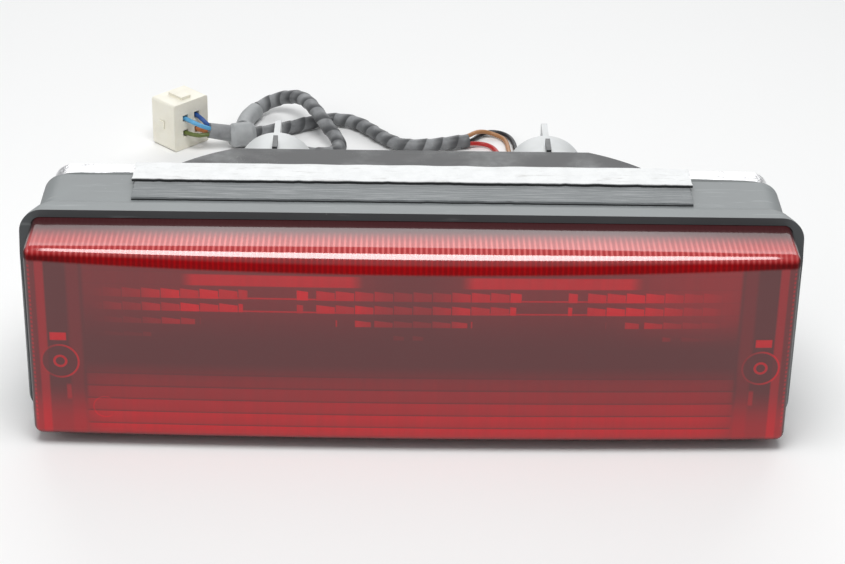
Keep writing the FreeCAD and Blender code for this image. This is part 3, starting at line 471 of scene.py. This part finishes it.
@dataclass(frozen=True)
class Foil:
    """Aluminium tape pressed down by hand: sharp creases, dull patches and painted shade along its front edge."""

    def build(self) -> bpy.types.Material:
        """Makes the material."""
        g = Graph("foil_crumpled")
        crease = g.cells(150.0, "F1", g.along(g.x / 1000.0 * 0.6, g.y / 1000.0, g.z / 1000.0)) * 1.4
        crumple = g.grain(210.0, 4.0, 0.6, warp=1.6)
        dull = g.grain(50.0, 3.0).rise(0.45, 0.7)
        grime = g.grain(90.0, 4.0, 0.7).rise(0.58, 0.75)
        # Painted shade: a darker, duller band with a wandering edge along the foil's front, where it slopes down over
        # the step.
        wander = (g.grain(60.0, 4.0, 0.7) - 0.5) * 3.0 + g.x.size().rise(112.0, 140.0) * 1.2
        shaded_front = (g.y + wander).rise(28.6, 27.6)
        bright = g.blend(grime * 0.7, (0.80, 0.80, 0.81), (0.16, 0.16, 0.17))
        return g.finish(Base_Color=g.blend(shaded_front, bright, (0.115, 0.128, 0.128)),
                        Roughness=0.26 + dull * 0.26 + shaded_front * 0.25, Metallic=(0.92 - grime * 0.5) * (1.0 - shaded_front),
                        Normal=g.relief(crease * 0.6 + crumple, 0.55, 0.9))


@dataclass(frozen=True)
class Nylon:
    """Natural or grey nylon: slightly waxy, faintly mottled."""

    name: str
    colour: Colour
    grime: Colour
    wax: float = 0.05

    def build(self) -> bpy.types.Material:
        """Makes the material."""
        g = Graph(self.name)
        mottle = g.grain(90.0, 4.0, 0.6).rise(0.35, 0.75)
        dirt = g.grain(300.0, 4.0, 0.7).rise(0.60, 0.80)
        shade = g.blend(dirt * 0.45 + mottle * 0.20, self.colour, self.grime)
        return g.finish(Base_Color=shade, Roughness=0.38 + mottle * 0.14,
                        Normal=g.relief(g.grain(1800.0, 2.0), 0.02, 0.5),
                        Subsurface_Weight=self.wax, Subsurface_Radius=(0.004, 0.004, 0.003), Specular_IOR_Level=0.5)


@dataclass(frozen=True)
class BareMetal:
    """Plated or bare metal with a little tarnish."""

    name: str
    metal: Metal
    tarnish: float = 0.35

    def build(self) -> bpy.types.Material:
        """Makes the material."""
        colour, rough = self.metal.value
        g = Graph(self.name)
        patch = g.grain(220.0, 4.0, 0.6).rise(0.42, 0.75)
        aged = tuple(c * 0.45 for c in colour)
        return g.finish(Base_Color=g.blend(patch * self.tarnish, colour, aged), Metallic=1.0,
                        Roughness=rough + patch * 0.2, Normal=g.relief(g.grain(1200.0, 3.0), 0.01, 0.5))


@dataclass(frozen=True)
class ClearGlass:
    """The bulbs' clear envelope."""

    def build(self) -> bpy.types.Material:
        """Makes the material."""
        g = Graph("bulb_clear_glass")
        smear = g.grain(120.0, 3.0).rise(0.4, 0.8)
        return g.finish(Base_Color=(0.97, 0.98, 0.98), Roughness=0.02 + smear * 0.05,
                        Transmission_Weight=1.0, IOR=1.45)


@dataclass(frozen=True)
class WireSkin:
    """Extruded wire insulation with rubbed patches."""

    insulation: Insulation

    def build(self) -> bpy.types.Material:
        """Makes the material."""
        g = Graph("wire_" + self.insulation.name.lower())
        colour = self.insulation.value
        rubbed = g.grain(160.0, 3.0, 0.6).rise(0.48, 0.72)
        pale = tuple(min(1.0, c * 1.3 + 0.03) for c in colour)
        return g.finish(Base_Color=g.blend(rubbed * 0.7, colour, pale), Roughness=0.36 + rubbed * 0.2,
                        Normal=g.relief(g.grain(700.0, 2.0), 0.03, 0.5), Specular_IOR_Level=0.5)


@dataclass(frozen=True)
class TapeSkin:
    """Vinyl tape wound on the lead; a dusty film and darker overlap lines read from the piece's own map."""

    name: str = "sleeve_wound_tape"
    colour: Colour = (0.045, 0.047, 0.050)
    film: Colour = (0.360, 0.370, 0.378)
    film_share: float = 0.75
    banded: bool = True

    def build(self) -> bpy.types.Material:
        """Makes the material."""
        g = Graph(self.name)
        cloud = g.grain(70.0, 4.0, 0.6).rise(0.35, 0.70)
        wrinkle = g.grain(420.0, 4.0, 0.6, warp=0.8)
        share = (cloud * 0.6 + 0.4) * self.film_share + wrinkle.rise(0.55, 0.75) * 0.15
        if self.banded:
            turn = self.turns(g).fraction()
            share = share * (turn.rise(0.05, 0.60) * 0.9 + 0.15) * turn.rise(1.0, 0.90)
        return g.finish(Base_Color=g.blend(share.limited(), self.colour, self.film), Roughness=0.42 + cloud * 0.16,
                        Normal=g.relief(wrinkle, 0.16, 0.6), Specular_IOR_Level=0.5)


    def turns(self, g: Graph) -> Val:
        """How many turns of tape lie before a place, from the piece's own map."""
        place = g.node("ShaderNodeUVMap", {}, uv_map="turns").socket
        node = g.node("ShaderNodeSeparateXYZ", {0: place}).socket.node
        return Val(g, node.outputs[0])


@dataclass(frozen=True)
class Paper:
    """The plain pale floor."""

    def build(self) -> bpy.types.Material:
        """Makes the material."""
        g = Graph("studio_paper")
        faint = g.grain(3.0, 3.0)
        return g.finish(Base_Color=g.blend(faint, (0.90, 0.90, 0.895), (0.93, 0.93, 0.925)), Roughness=0.62,
                        Specular_IOR_Level=0.2)


# ---- modelling by hand --------------------------------------------------------------------
def alone(piece: bpy.types.Object) -> None:
    """Selects one piece and makes it active."""
    bpy.ops.object.select_all(action="DESELECT")
    piece.select_set(True)
    bpy.context.view_layer.objects.active = piece


@contextmanager
def edit(piece: bpy.types.Object) -> Iterator[bmesh.types.BMesh]:
    """Opens a piece in edit mode with nothing selected, and closes it again."""
    alone(piece)
    bpy.ops.object.mode_set(mode="EDIT")
    bpy.ops.mesh.select_all(action="DESELECT")
    yield bmesh.from_edit_mesh(piece.data)
    bpy.ops.object.mode_set(mode="OBJECT")


def pick(mesh: bmesh.types.BMesh, kind: str, test: Callable[[Vector, Vector], bool], piece: bpy.types.Object) -> None:
    """Selects what passes a test of its middle and its direction.

    Args:
        mesh: the mesh in edit mode.
        kind: "EDGE" or "FACE".
        test: takes the middle, in millimetres, and the edge's direction or the face's normal.
        piece: the object in edit mode.
    """
    bpy.ops.mesh.select_mode(type=kind)
    bpy.ops.mesh.select_all(action="DESELECT")
    if kind == "EDGE":
        for edge in mesh.edges:
            a, b = (v.co for v in edge.verts)
            edge.select_set(test((a + b) / (2 * MM), (b - a).normalized()))
    else:
        for face in mesh.faces:
            face.select_set(test(face.calc_center_median() / MM, face.normal))
    bmesh.update_edit_mesh(piece.data)


def add_block(name: str, low: Point, high: Point) -> bpy.types.Object:
    """Adds a block between two corners given in millimetres."""
    bpy.ops.object.select_all(action="DESELECT")
    middle = [(a + b) / 2 * MM for a, b in zip(low, high)]
    bpy.ops.mesh.primitive_cube_add(size=1.0, location=middle)
    piece = bpy.context.active_object
    piece.name = name
    piece.scale = [(b - a) * MM for a, b in zip(low, high)]
    bpy.ops.object.transform_apply(location=True, rotation=True, scale=True)
    return piece


def bevel(piece: bpy.types.Object, test: Callable[[Vector, Vector], bool], width: float, segments: int) -> None:
    """Rounds the edges that pass a test, by a width in millimetres."""
    with edit(piece) as mesh:
        pick(mesh, "EDGE", test, piece)
        bpy.ops.mesh.bevel(offset=width * MM, segments=segments, profile=0.5, clamp_overlap=True)


def slice_along(place: Vector, normal: Vector) -> None:
    """Cuts edges into the piece in edit mode where a plane, in millimetres, meets it."""
    bpy.ops.mesh.select_all(action="SELECT")
    bpy.ops.mesh.bisect(plane_co=place * MM, plane_no=normal)


def apply(piece: bpy.types.Object, kind: str, **settings) -> None:
    """Adds one modifier with its settings and applies it."""
    alone(piece)
    modifier = piece.modifiers.new(kind.lower(), kind)
    for key, value in settings.items():
        setattr(modifier, key, value)
    bpy.ops.object.modifier_apply(modifier=modifier.name)


def smooth(piece: bpy.types.Object, degrees: float = 32.0) -> None:
    """Shades a piece smooth up to an angle."""
    alone(piece)
    bpy.ops.object.shade_smooth_by_angle(angle=math.radians(degrees))


def dress(piece: bpy.types.Object, material: bpy.types.Material, body: str, slot: str,
          *nodes: str) -> bpy.types.Object:
    """Gives a new piece its material and body, and hides the CAD nodes that it stands for."""
    piece.data.materials.clear()
    piece.data.materials.append(material)
    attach(piece, body)
    if nodes:
        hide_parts(*nodes)
    log.info("%s: %s", piece.name, ", ".join(nodes) or "added")
    return piece


def repaint(material: bpy.types.Material, *nodes: str) -> None:
    """Gives CAD nodes a better material in the slots that they have."""
    for name in nodes:
        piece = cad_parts[name]
        for slot in piece.material_slots:
            slot.material = material
        log.info("%s: %s", name, material.name)


# ---- the lens -----------------------------------------------------------------------------
@dataclass
class RearLens:
    """The red lens: a hollow box, open to the back, bowed in front and rounded most at the top's middle."""

    half: float = 150.0
    low: float = 4.5
    high: float = 88.1
    front: float = -45.85
    rear: float = -12.75
    bow: float = 2.8
    corner: float = 3.5
    front_round: float = 3.6
    crown_round: float = 9.0
    wall: float = 2.8

    def build(self) -> bpy.types.Object:
        """Models the lens and dresses it."""
        lens = add_block("lens_cover", (-self.half, self.front, self.low), (self.half, self.rear, self.high))
        bevel(lens, lambda middle, way: abs(way.y) > 0.9, self.corner, 5)
        bevel(lens, lambda middle, way: middle.y < self.front + 0.01 and abs(way.y) < 0.1, self.front_round, 7)
        with edit(lens):
            for k in range(-11, 12):
                slice_along(Vector((k * 12.5, 0.0, 0.0)), Vector((1.0, 0.0, 0.0)))
            for k in range(1, 10):
                slice_along(Vector((0.0, self.front + k, 0.0)), Vector((0.0, 1.0, 0.0)))
                slice_along(Vector((0.0, 0.0, self.high - k)), Vector((0.0, 0.0, 1.0)))
        for vertex in lens.data.vertices:
            vertex.co = self.shaped(vertex.co / MM) * MM
        with edit(lens) as mesh:
            pick(mesh, "FACE", lambda middle, normal: normal.y > 0.9, lens)
            bpy.ops.mesh.delete(type="FACE")
        apply(lens, "SOLIDIFY", thickness=self.wall * MM, offset=-1.0, use_even_offset=True)
        smooth(lens)
        return dress(lens, LensRed().build(), "lamp", "lens_red", "lens")

    def shaped(self, place: Vector) -> Vector:
        """Moves one place of the plain box onto the rounded crown and the bowed front."""
        share = place.x / self.half
        radius = self.front_round + (self.crown_round - self.front_round) * max(0.0, 1.0 - (place.x / 144.0) ** 2)
        back, down = radius - (place.y - self.front), radius - (self.high - place.z)
        reach = math.hypot(back, down)
        y, z = place.y, place.z
        if back > 0.0 and down > 0.0 and reach > radius:
            y, z = self.front + radius - back * radius / reach, self.high - radius + down * radius / reach
        if place.y < self.front + 12.0:
            y += self.bow * share * share
        return Vector((place.x, y, z))


# ---- pad, strip and foil ------------------------------------------------------------------
@dataclass
class TapeStrip:
    """A flat strip with hand-cut edges that lies on the boot."""

    name: str
    node: str
    slot: str
    ragged: float
    seed: float
    cuts: int = 150

    def build(self, material: bpy.types.Material) -> bpy.types.Object:
        """Models the strip inside its node's box and dresses it."""
        low, high = ([c / MM for c in corner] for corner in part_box(self.node))
        strip = add_block(self.name, tuple(low), tuple(high))
        with edit(strip) as mesh:
            pick(mesh, "EDGE", lambda middle, way: abs(way.x) > 0.9, strip)
            bpy.ops.mesh.subdivide(number_cuts=self.cuts)
            pick(mesh, "EDGE", lambda middle, way: abs(way.y) > 0.9, strip)
            bpy.ops.mesh.subdivide(number_cuts=6)
        for vertex in strip.data.vertices:
            x, y, z = (c / MM for c in vertex.co)
            slow, quick = Vector((x * 0.06, self.seed, 0.0)), Vector((x * 0.25, self.seed, 7.0))
            wander = noise.noise(slow) + 0.7 * noise.noise(quick)
            inward = abs(wander) * self.ragged + 0.15
            if y < low[1] + 0.01:
                y += inward
            elif y > high[1] - 0.01:
                y -= abs(noise.noise(Vector((x * 0.05, self.seed + 3.0, 2.0)))) * self.ragged * 0.9 + 0.1
            if abs(x) > high[0] - 0.01:
                x -= math.copysign(abs(noise.noise(Vector((y * 0.3, self.seed, 5.0)))) * self.ragged * 2.0 + 0.1, x)
            if z > high[2] - 0.01:
                z -= 0.12 + 0.22 * abs(noise.noise(Vector((x * 0.045, y * 0.12, self.seed))))
            vertex.co = Vector((x, y, z)) * MM
        bevel(strip, lambda middle, way: middle.z > high[2] - 0.4 and self.on_edge(middle, low, high), 0.35, 2)
        smooth(strip, 40.0)
        return dress(strip, material, "lamp", self.slot, self.node)

    def on_edge(self, middle: Vector, low: Sequence[float], high: Sequence[float]) -> bool:
        """Whether a place is on the strip's outline."""
        return abs(middle.x) > high[0] - 0.2


# ---- the lead -----------------------------------------------------------------------------
def nurbs_route(name: str, points: Sequence[Point], radius: float) -> bpy.types.Object:
    """A smooth cord through given control points.

    Args:
        name: the piece's name.
        points: the route's control points, in metres.
        radius: the cord's radius, in metres; 0 gives the bare line.

    Returns:
        The curve object.
    """
    curve = bpy.data.curves.new(name, "CURVE")
    curve.dimensions = "3D"
    spline = curve.splines.new("NURBS")
    spline.points.add(len(points) - 1)
    for point, place in zip(spline.points, points):
        point.co = (*place, 1.0)
    spline.order_u = 3
    spline.use_endpoint_u = True
    spline.resolution_u = 10
    curve.bevel_depth = radius
    curve.bevel_resolution = 5
    curve.use_fill_caps = True
    piece = bpy.data.objects.new(name, curve)
    bpy.context.scene.collection.objects.link(piece)
    return piece


def line_of(route: bpy.types.Object) -> list[Vector]:
    """The points that a bare route's spline gives."""
    mesh = bpy.data.meshes.new_from_object(route)
    points = [v.co.copy() for v in mesh.vertices]
    bpy.data.meshes.remove(mesh)
    return points


def evenly(points: Sequence[Vector], step: float) -> list[Vector]:
    """Places a fixed step apart along a line."""
    result, left = [points[0].copy()], step
    for a, b in zip(points, points[1:]):
        run = (b - a).length
        while left <= run:
            result.append(a.lerp(b, left / run))
            a, run, left = result[-1], run - left, step
        left -= run
    if (points[-1] - result[-1]).length > step * 0.3:
        result.append(points[-1].copy())
    return result


def wound_tube(name: str, points: Sequence[Vector], radius: float, tape: float, proud: float, seed: float,
               around: int = 20) -> bpy.types.Object:
    """A tube wound with tape: each turn's edge stands a little proud of the turn before.

    Args:
        name: the piece's name.
        points: its centre line, evenly spaced.
        radius: its radius, in metres.
        tape: the spacing of the turns, in metres.
        proud: how far an edge stands out, in metres.
        seed: makes its unevenness its own.
        around: faces round the tube.

    Returns:
        The mesh object, with closed ends.
    """
    mesh = bmesh.new()
    chart = mesh.loops.layers.uv.new("turns")
    rings, stations, travelled = [], [], 0.0
    side = (points[1] - points[0]).normalized().orthogonal().normalized()
    for k, place in enumerate(points):
        way = (points[min(k + 1, len(points) - 1)] - points[max(k - 1, 0)]).normalized()
        side = (side - way * side.dot(way)).normalized()
        up = way.cross(side)
        if k:
            travelled += (place - points[k - 1]).length
        ring = []
        for n in range(around):
            angle = 2 * math.pi * n / around
            turn = (travelled / tape + n / around) % 1.0
            uneven = noise.noise(Vector((travelled * 90.0, math.cos(angle) + seed, math.sin(angle)))) * 0.5
            edge = 1.0 - min(turn / 0.82, 1.0) if turn < 0.82 else (turn - 0.82) / 0.18
            r = radius - proud + proud * edge + proud * 0.8 * (uneven - 0.25)
            ring.append(mesh.verts.new(place + (side * math.cos(angle) + up * math.sin(angle)) * min(r, radius)))
        rings.append(ring)
        stations.append(travelled / tape)
    for k, (first, second) in enumerate(zip(rings, rings[1:])):
        for n in range(around):
            m = (n + 1) % around
            face = mesh.faces.new((first[n], first[m], second[m], second[n]))
            for loop, (station, step) in zip(face.loops, ((k, n), (k, n + 1), (k + 1, n + 1), (k + 1, n))):
                loop[chart].uv = (stations[station] + step / around, step / around)
    mesh.faces.new(list(reversed(rings[0])))
    mesh.faces.new(rings[-1])
    bmesh.ops.recalc_face_normals(mesh, faces=mesh.faces)
    data = bpy.data.meshes.new(name)
    mesh.to_mesh(data)
    mesh.free()
    piece = bpy.data.objects.new(name, data)
    bpy.context.scene.collection.objects.link(piece)
    smooth(piece, 50.0)
    return piece


@dataclass
class Wire:
    """One insulated wire of the lead."""

    node: str
    colour: Insulation
    points: Sequence[Point]
    length: float
    far_end: str = "object"
    radius: float = 0.0011

    def build(self, material: bpy.types.Material, on_it: Sequence[str] = ()) -> bpy.types.Object:
        piece = nurbs_route(self.node + "_cord", self.points, self.radius)
        dress(piece, material, "lamp", "wire_" + self.colour.name.lower(), self.node)
        return piece


@dataclass
class Sleeve:
    """A stretch of the lead wound with tape."""

    node: str
    points: Sequence[Point]
    length: float
    radius: float
    seed: float
    far_end: str = "object"
    tape: float = 0.0085

    def build(self, material: bpy.types.Material, on_it: Sequence[str] = ()) -> bpy.types.Object:
        route = nurbs_route(self.node + "_route", self.points, 0.0)
        line = evenly(line_of(route), 0.0009)
        bpy.data.objects.remove(route)
        piece = wound_tube(self.node + "_wound", line, self.radius, self.tape, 0.0004, self.seed)
        dress(piece, material, "lamp", "sleeve_black", self.node)
        return piece


@dataclass
class Lead:
    """The taped lead: six socket wires, two sleeves, the junction, four fan wires and the plug."""

    def wires(self) -> list[Wire]:
        """The wires from the sockets, in metres."""
        return [
            Wire("wire_tan_right", Insulation.TAN, [
                (.058, .094, .0663), (.058, .106, .066), (.0578, .120, .0585), (.0574, .134, .0455), (.0568, .149, .0315),
                (.0558, .167, .0175), (.0544, .187, .007), (.053, .206, .0022), (.0518, .223, .0013),
                (.0509, .237, .00125), (.0502, .2496, .00125), (.0459, .2552, .0014), (.0394, .256, .0032),
                (.0346, .2514, .0049), (.0304, .2448, .0055), (.0245, .2413, .0053)], 0.2102),
            Wire("wire_red_right", Insulation.RED, [
                (.0567, .094, .0639), (.0566, .1055, .0633), (.0552, .1195, .055), (.0536, .133, .042),
                (.0523, .148, .028), (.0512, .166, .015), (.0501, .186, .0053), (.0488, .204, .0018),
                (.0472, .221, .0013), (.0454, .2345, .00125), (.0424, .2422, .00125), (.0372, .2446, .0017),
                (.0306, .242, .0027), (.0249, .2399, .0028)], 0.187),
            Wire("wire_black_right", Insulation.BLACK, [
                (.0593, .094, .0639), (.0595, .1055, .0633), (.0606, .1195, .055), (.0609, .133, .042),
                (.0606, .148, .028), (.0596, .166, .015), (.0582, .186, .0053), (.0569, .204, .0018),
                (.0556, .221, .0013), (.0546, .237, .00125), (.0536, .2506, .00125), (.0488, .2588, .00125),
                (.0404, .2602, .00125), (.0354, .2534, .00125), (.0316, .2462, .0017), (.0241, .2427, .0027)], 0.2175),
            Wire("wire_tan_left", Insulation.TAN, [
                (-.058, .094, .0663), (-.058, .106, .066), (-.0579, .120, .0585), (-.0586, .134, .0455),
                (-.0598, .149, .0315), (-.0614, .167, .0175), (-.0632, .186, .007), (-.065, .203, .0022),
                (-.0662, .2145, .0014), (-.0624, .2234, .0018), (-.0546, .2262, .0038), (-.047, .2254, .0049)], 0.1663),
            Wire("wire_red_left", Insulation.RED, [
                (-.0567, .094, .0639), (-.0566, .1055, .0633), (-.0552, .1195, .055), (-.0548, .133, .042),
                (-.0556, .148, .028), (-.057, .166, .015), (-.0588, .185, .0053), (-.0606, .201, .0018),
                (-.061, .211, .00125), (-.058, .2184, .0015), (-.0522, .2226, .0024), (-.0456, .2232, .003)], 0.1583),
            Wire("wire_black_left", Insulation.BLACK, [
                (-.0593, .094, .0639), (-.0595, .1055, .0633), (-.062, .1195, .055), (-.0634, .133, .042),
                (-.0648, .148, .028), (-.0664, .166, .015), (-.0682, .186, .0053), (-.070, .204, .0018),
                (-.0708, .218, .00125), (-.0664, .2282, .0014), (-.057, .2296, .0024), (-.048, .227, .0032)], 0.1729),
        ]

    def fan(self) -> list[Wire]:
        """The four wires that fan out into the plug, in metres."""
        return [
            Wire("wire_blue", Insulation.BLUE, [
                (-.0816, .2446, .0063), (-.0861, .2431, .0076), (-.0932, .2408, .0098), (-.1002, .2384, .012),
                (-.1044, .241, .016), (-.109, .2459, .0165)], 0.0325, "plug"),
            Wire("wire_sky", Insulation.SKY, [
                (-.0808, .2423, .0063), (-.0852, .2407, .0076), (-.0922, .2383, .0097), (-.0996, .2357, .012),
                (-.1062, .2338, .0154), (-.1143, .2406, .0165)], 0.0372),
            Wire("wire_orange", Insulation.ORANGE, [
                (-.0822, .2444, .0039), (-.0868, .2429, .0051), (-.0938, .2404, .0073), (-.1009, .238, .0092),
                (-.1056, .2422, .0086), (-.109, .2459, .0085)], 0.0305),
            Wire("wire_olive", Insulation.OLIVE, [
                (-.0814, .2421, .0039), (-.086, .2405, .0051), (-.093, .238, .0072), (-.1002, .2354, .0092),
                (-.107, .234, .0086), (-.1143, .2406, .0085)], 0.0360),
        ]

    def sleeves(self) -> tuple[Sleeve, Sleeve]:
        """The sleeve along the floor and the looped one, in metres."""
        main = Sleeve("sleeve_main", [
            (.0304, .2434, .0037), (.020, .2398, .0037), (.008, .2362, .0037), (-.004, .2368, .0037),
            (-.0132, .2466, .0037), (-.0216, .259, .0037), (-.0284, .2656, .0037), (-.0372, .2682, .0037),
            (-.0474, .2649, .0037), (-.060, .2572, .0037), (-.0706, .2506, .0042), (-.0794, .2448, .0052)],
            0.130, 0.0036, 2.0, "fitting")
        loop = Sleeve("sleeve_loop", [
            (-.0528, .2256, .0039), (-.0464, .224, .0039), (-.0392, .2249, .0039), (-.0346, .2298, .004),
            (-.0344, .2368, .0052), (-.0402, .2446, .0092), (-.0462, .254, .014), (-.0532, .2706, .014),
            (-.0604, .2814, .0104), (-.0694, .2854, .0064), (-.0778, .2792, .0044), (-.0826, .268, .0039),
            (-.0839, .256, .0046), (-.0838, .2464, .0056)], 0.1345, 0.0038, 9.0, "object")
        return main, loop

    def build(self) -> None:
        """Makes the wires and wound sleeves of the lead, and repaints its junction wrap, tape band and trunk sleeve."""
        skins = {colour: WireSkin(colour).build() for colour in Insulation}
        tape = TapeSkin().build()
        grey = TapeSkin("tape_grey_vinyl", (0.26, 0.27, 0.275), (0.44, 0.455, 0.46), 0.8, False).build()
        repaint(TapeSkin("trunk_plain_tape", banded=False).build(), "trunk_sleeve")
        repaint(grey, "junction_wrap", "tape_band")
        for wire in self.wires():
            wire.build(skins[wire.colour])
        plug = ["plug_body", "plug_terminals", "plug_retainer"]
        for wire in self.fan():
            wire.build(skins[wire.colour], plug if wire.far_end == "plug" else [])
        main, loop = self.sleeves()
        main.build(tape, ["junction_wrap", "trunk_sleeve"])
        loop.build(tape, ["tape_band"])


# ---- studio -------------------------------------------------------------------------------
@dataclass
class Studio:
    """Camera, floor and soft light."""

    eye: Point = (-10.17, -847.4, 507.0)
    yaw: float = 0.995
    pitch: float = 28.198
    roll: float = 1.120
    focal: float = 100.79

    def camera(self) -> None:
        """Places the camera."""
        yaw, pitch, roll = (math.radians(a) for a in (self.yaw, self.pitch, self.roll))
        ahead = Vector((math.sin(yaw) * math.cos(pitch), math.cos(yaw) * math.cos(pitch), -math.sin(pitch)))
        right = Vector((math.cos(yaw), -math.sin(yaw), 0.0))
        up = right.cross(ahead)
        right, up = (math.cos(roll) * right + math.sin(roll) * up, math.cos(roll) * up - math.sin(roll) * right)
        data = bpy.data.cameras.new("camera")
        data.lens, data.sensor_width, data.sensor_fit = self.focal, 36.0, "HORIZONTAL"
        data.clip_start, data.clip_end = 0.02, 50.0
        camera = bpy.data.objects.new("camera", data)
        bpy.context.scene.collection.objects.link(camera)
        place = Matrix((right, up, -ahead)).transposed().to_4x4()
        place.translation = Vector(self.eye) * MM
        camera.matrix_world = place
        bpy.context.scene.camera = camera

    def floor(self) -> None:
        """Lays the plain pale floor."""
        bpy.ops.object.select_all(action="DESELECT")
        bpy.ops.mesh.primitive_plane_add(size=9.0, location=(0.0, 0.0, -0.0002))
        floor = bpy.context.active_object
        floor.name = "floor"
        bpy.ops.object.transform_apply(location=True, rotation=True, scale=True)
        floor.data.materials.append(Paper().build())

    def lamp(self, name: str, place: Point, target: Point, size: tuple[float, float], watts: float,
             tint: Colour) -> None:
        """Hangs one soft box.

        Args:
            name: the light's name.
            place: where it hangs, in metres.
            target: what it faces, in metres.
            size: its width and height, in metres.
            watts: its power.
            tint: its colour.
        """
        data = bpy.data.lights.new(name, "AREA")
        data.shape, data.size, data.size_y, data.energy, data.color = "RECTANGLE", size[0], size[1], watts, tint
        light = bpy.data.objects.new(name, data)
        light.location = place
        light.rotation_euler = (Vector(target) - Vector(place)).to_track_quat("-Z", "Y").to_euler()
        bpy.context.scene.collection.objects.link(light)

    def build(self) -> None:
        """Sets the camera, the floor and the lights."""
        self.camera()
        self.floor()
        self.lamp("box_over", (0.0, -0.30, 1.12), (0.0, -0.045, 0.09), (0.70, 0.60), 9.0, (1.0, 1.0, 1.0))
        self.lamp("box_back", (0.1, 1.9, 1.1), (0.0, 0.0, 0.05), (2.4, 1.2), 18.0, (1.0, 1.0, 1.0))
        self.lamp("box_left", (-1.6, -0.6, 0.9), (0.0, 0.0, 0.05), (1.0, 1.0), 5.0, (1.0, 0.99, 0.98))
        world = bpy.data.worlds.new("studio")
        world.use_nodes = True
        ground = world.node_tree.nodes["Background"]
        ground.inputs[0].default_value = (0.93, 0.95, 0.97, 1.0)
        ground.inputs[1].default_value = 0.35
        bpy.context.scene.world = world
        bpy.context.scene.view_settings.view_transform = "Standard"


@dataclass
class Lamp:
    """The whole brake light."""

    def build(self) -> None:
        """Builds the sub-assemblies in order."""
        RearLens().build()
        TapeStrip("pad_streaked", "foam_pad", "foam_grey", 0.5, 1.0).build(Felt().build())
        TapeStrip("strip_ragged", "white_strip", "strip_white", 0.9, 5.0).build(WhiteFoam().build())
        self.repaint_nodes()
        Lead().build()

    @staticmethod
    def sprung(side: str, material: bpy.types.Material) -> None:
        """The coil spring behind a contact disc: a copy of its CAD mesh with its own material, in place of the CAD
        node.
        """
        name = "contact_spring_" + side
        piece = bpy.data.objects.new(name + "_coil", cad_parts[name].data.copy())
        bpy.context.scene.collection.objects.link(piece)
        piece.data.materials.clear()
        piece.data.materials.append(material)
        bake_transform(piece)
        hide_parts(name)
        log.info("%s: %s", piece.name, name)

    def repaint_nodes(self) -> None:
        """Dresses the CAD nodes that keep their own shape."""
        repaint(BlackMoulding().build(), "housing")
        repaint(Rubber().build(), "rubber_boot")
        repaint(Rubber("gasket_rubber", painted_sheen_share=0.3).build(), "lens_gasket", "socket_gasket_left",
                "socket_gasket_right")
        repaint(Foil().build(), "foil_tape_left", "foil_tape_right")
        grey = Nylon("socket_grey_nylon", (0.62, 0.635, 0.635), (0.48, 0.49, 0.485))
        repaint(grey.build(), "socket_left", "socket_right")
        natural = Nylon("plug_natural_nylon", (0.90, 0.87, 0.76), (0.70, 0.64, 0.50), 0.12)
        repaint(natural.build(), "plug_body", "plug_retainer")
        repaint(BareMetal("terminal_tin", Metal.TIN).build(), "plug_terminals")
        repaint(BareMetal("screw_zinc", Metal.ZINC).build(), "lens_screws", "mounting_studs", "stud_washers")
        repaint(BareMetal("reflector_silvered", Metal.SILVERED, 0.15).build(), "reflector")
        for side in ("left", "right"):
            repaint(BareMetal("contact_brass_" + side, Metal.BRASS).build(), "contact_shell_" + side, "contact_disc_" + side,
                    "bulb_base_" + side)
            self.sprung(side, BareMetal("spring_bright_" + side, Metal.SPRING).build())
            repaint(BareMetal("filament_" + side, Metal.TUNGSTEN).build(), "bulb_filaments_" + side)
            repaint(ClearGlass().build(), "bulb_glass_" + side)


def main() -> None:
    """Builds the lamp and the studio."""
    logging.basicConfig(level=logging.INFO, format="%(message)s")
    Lamp().build()
    Studio().build()
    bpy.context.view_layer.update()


if __name__ == "__main__":
    main()
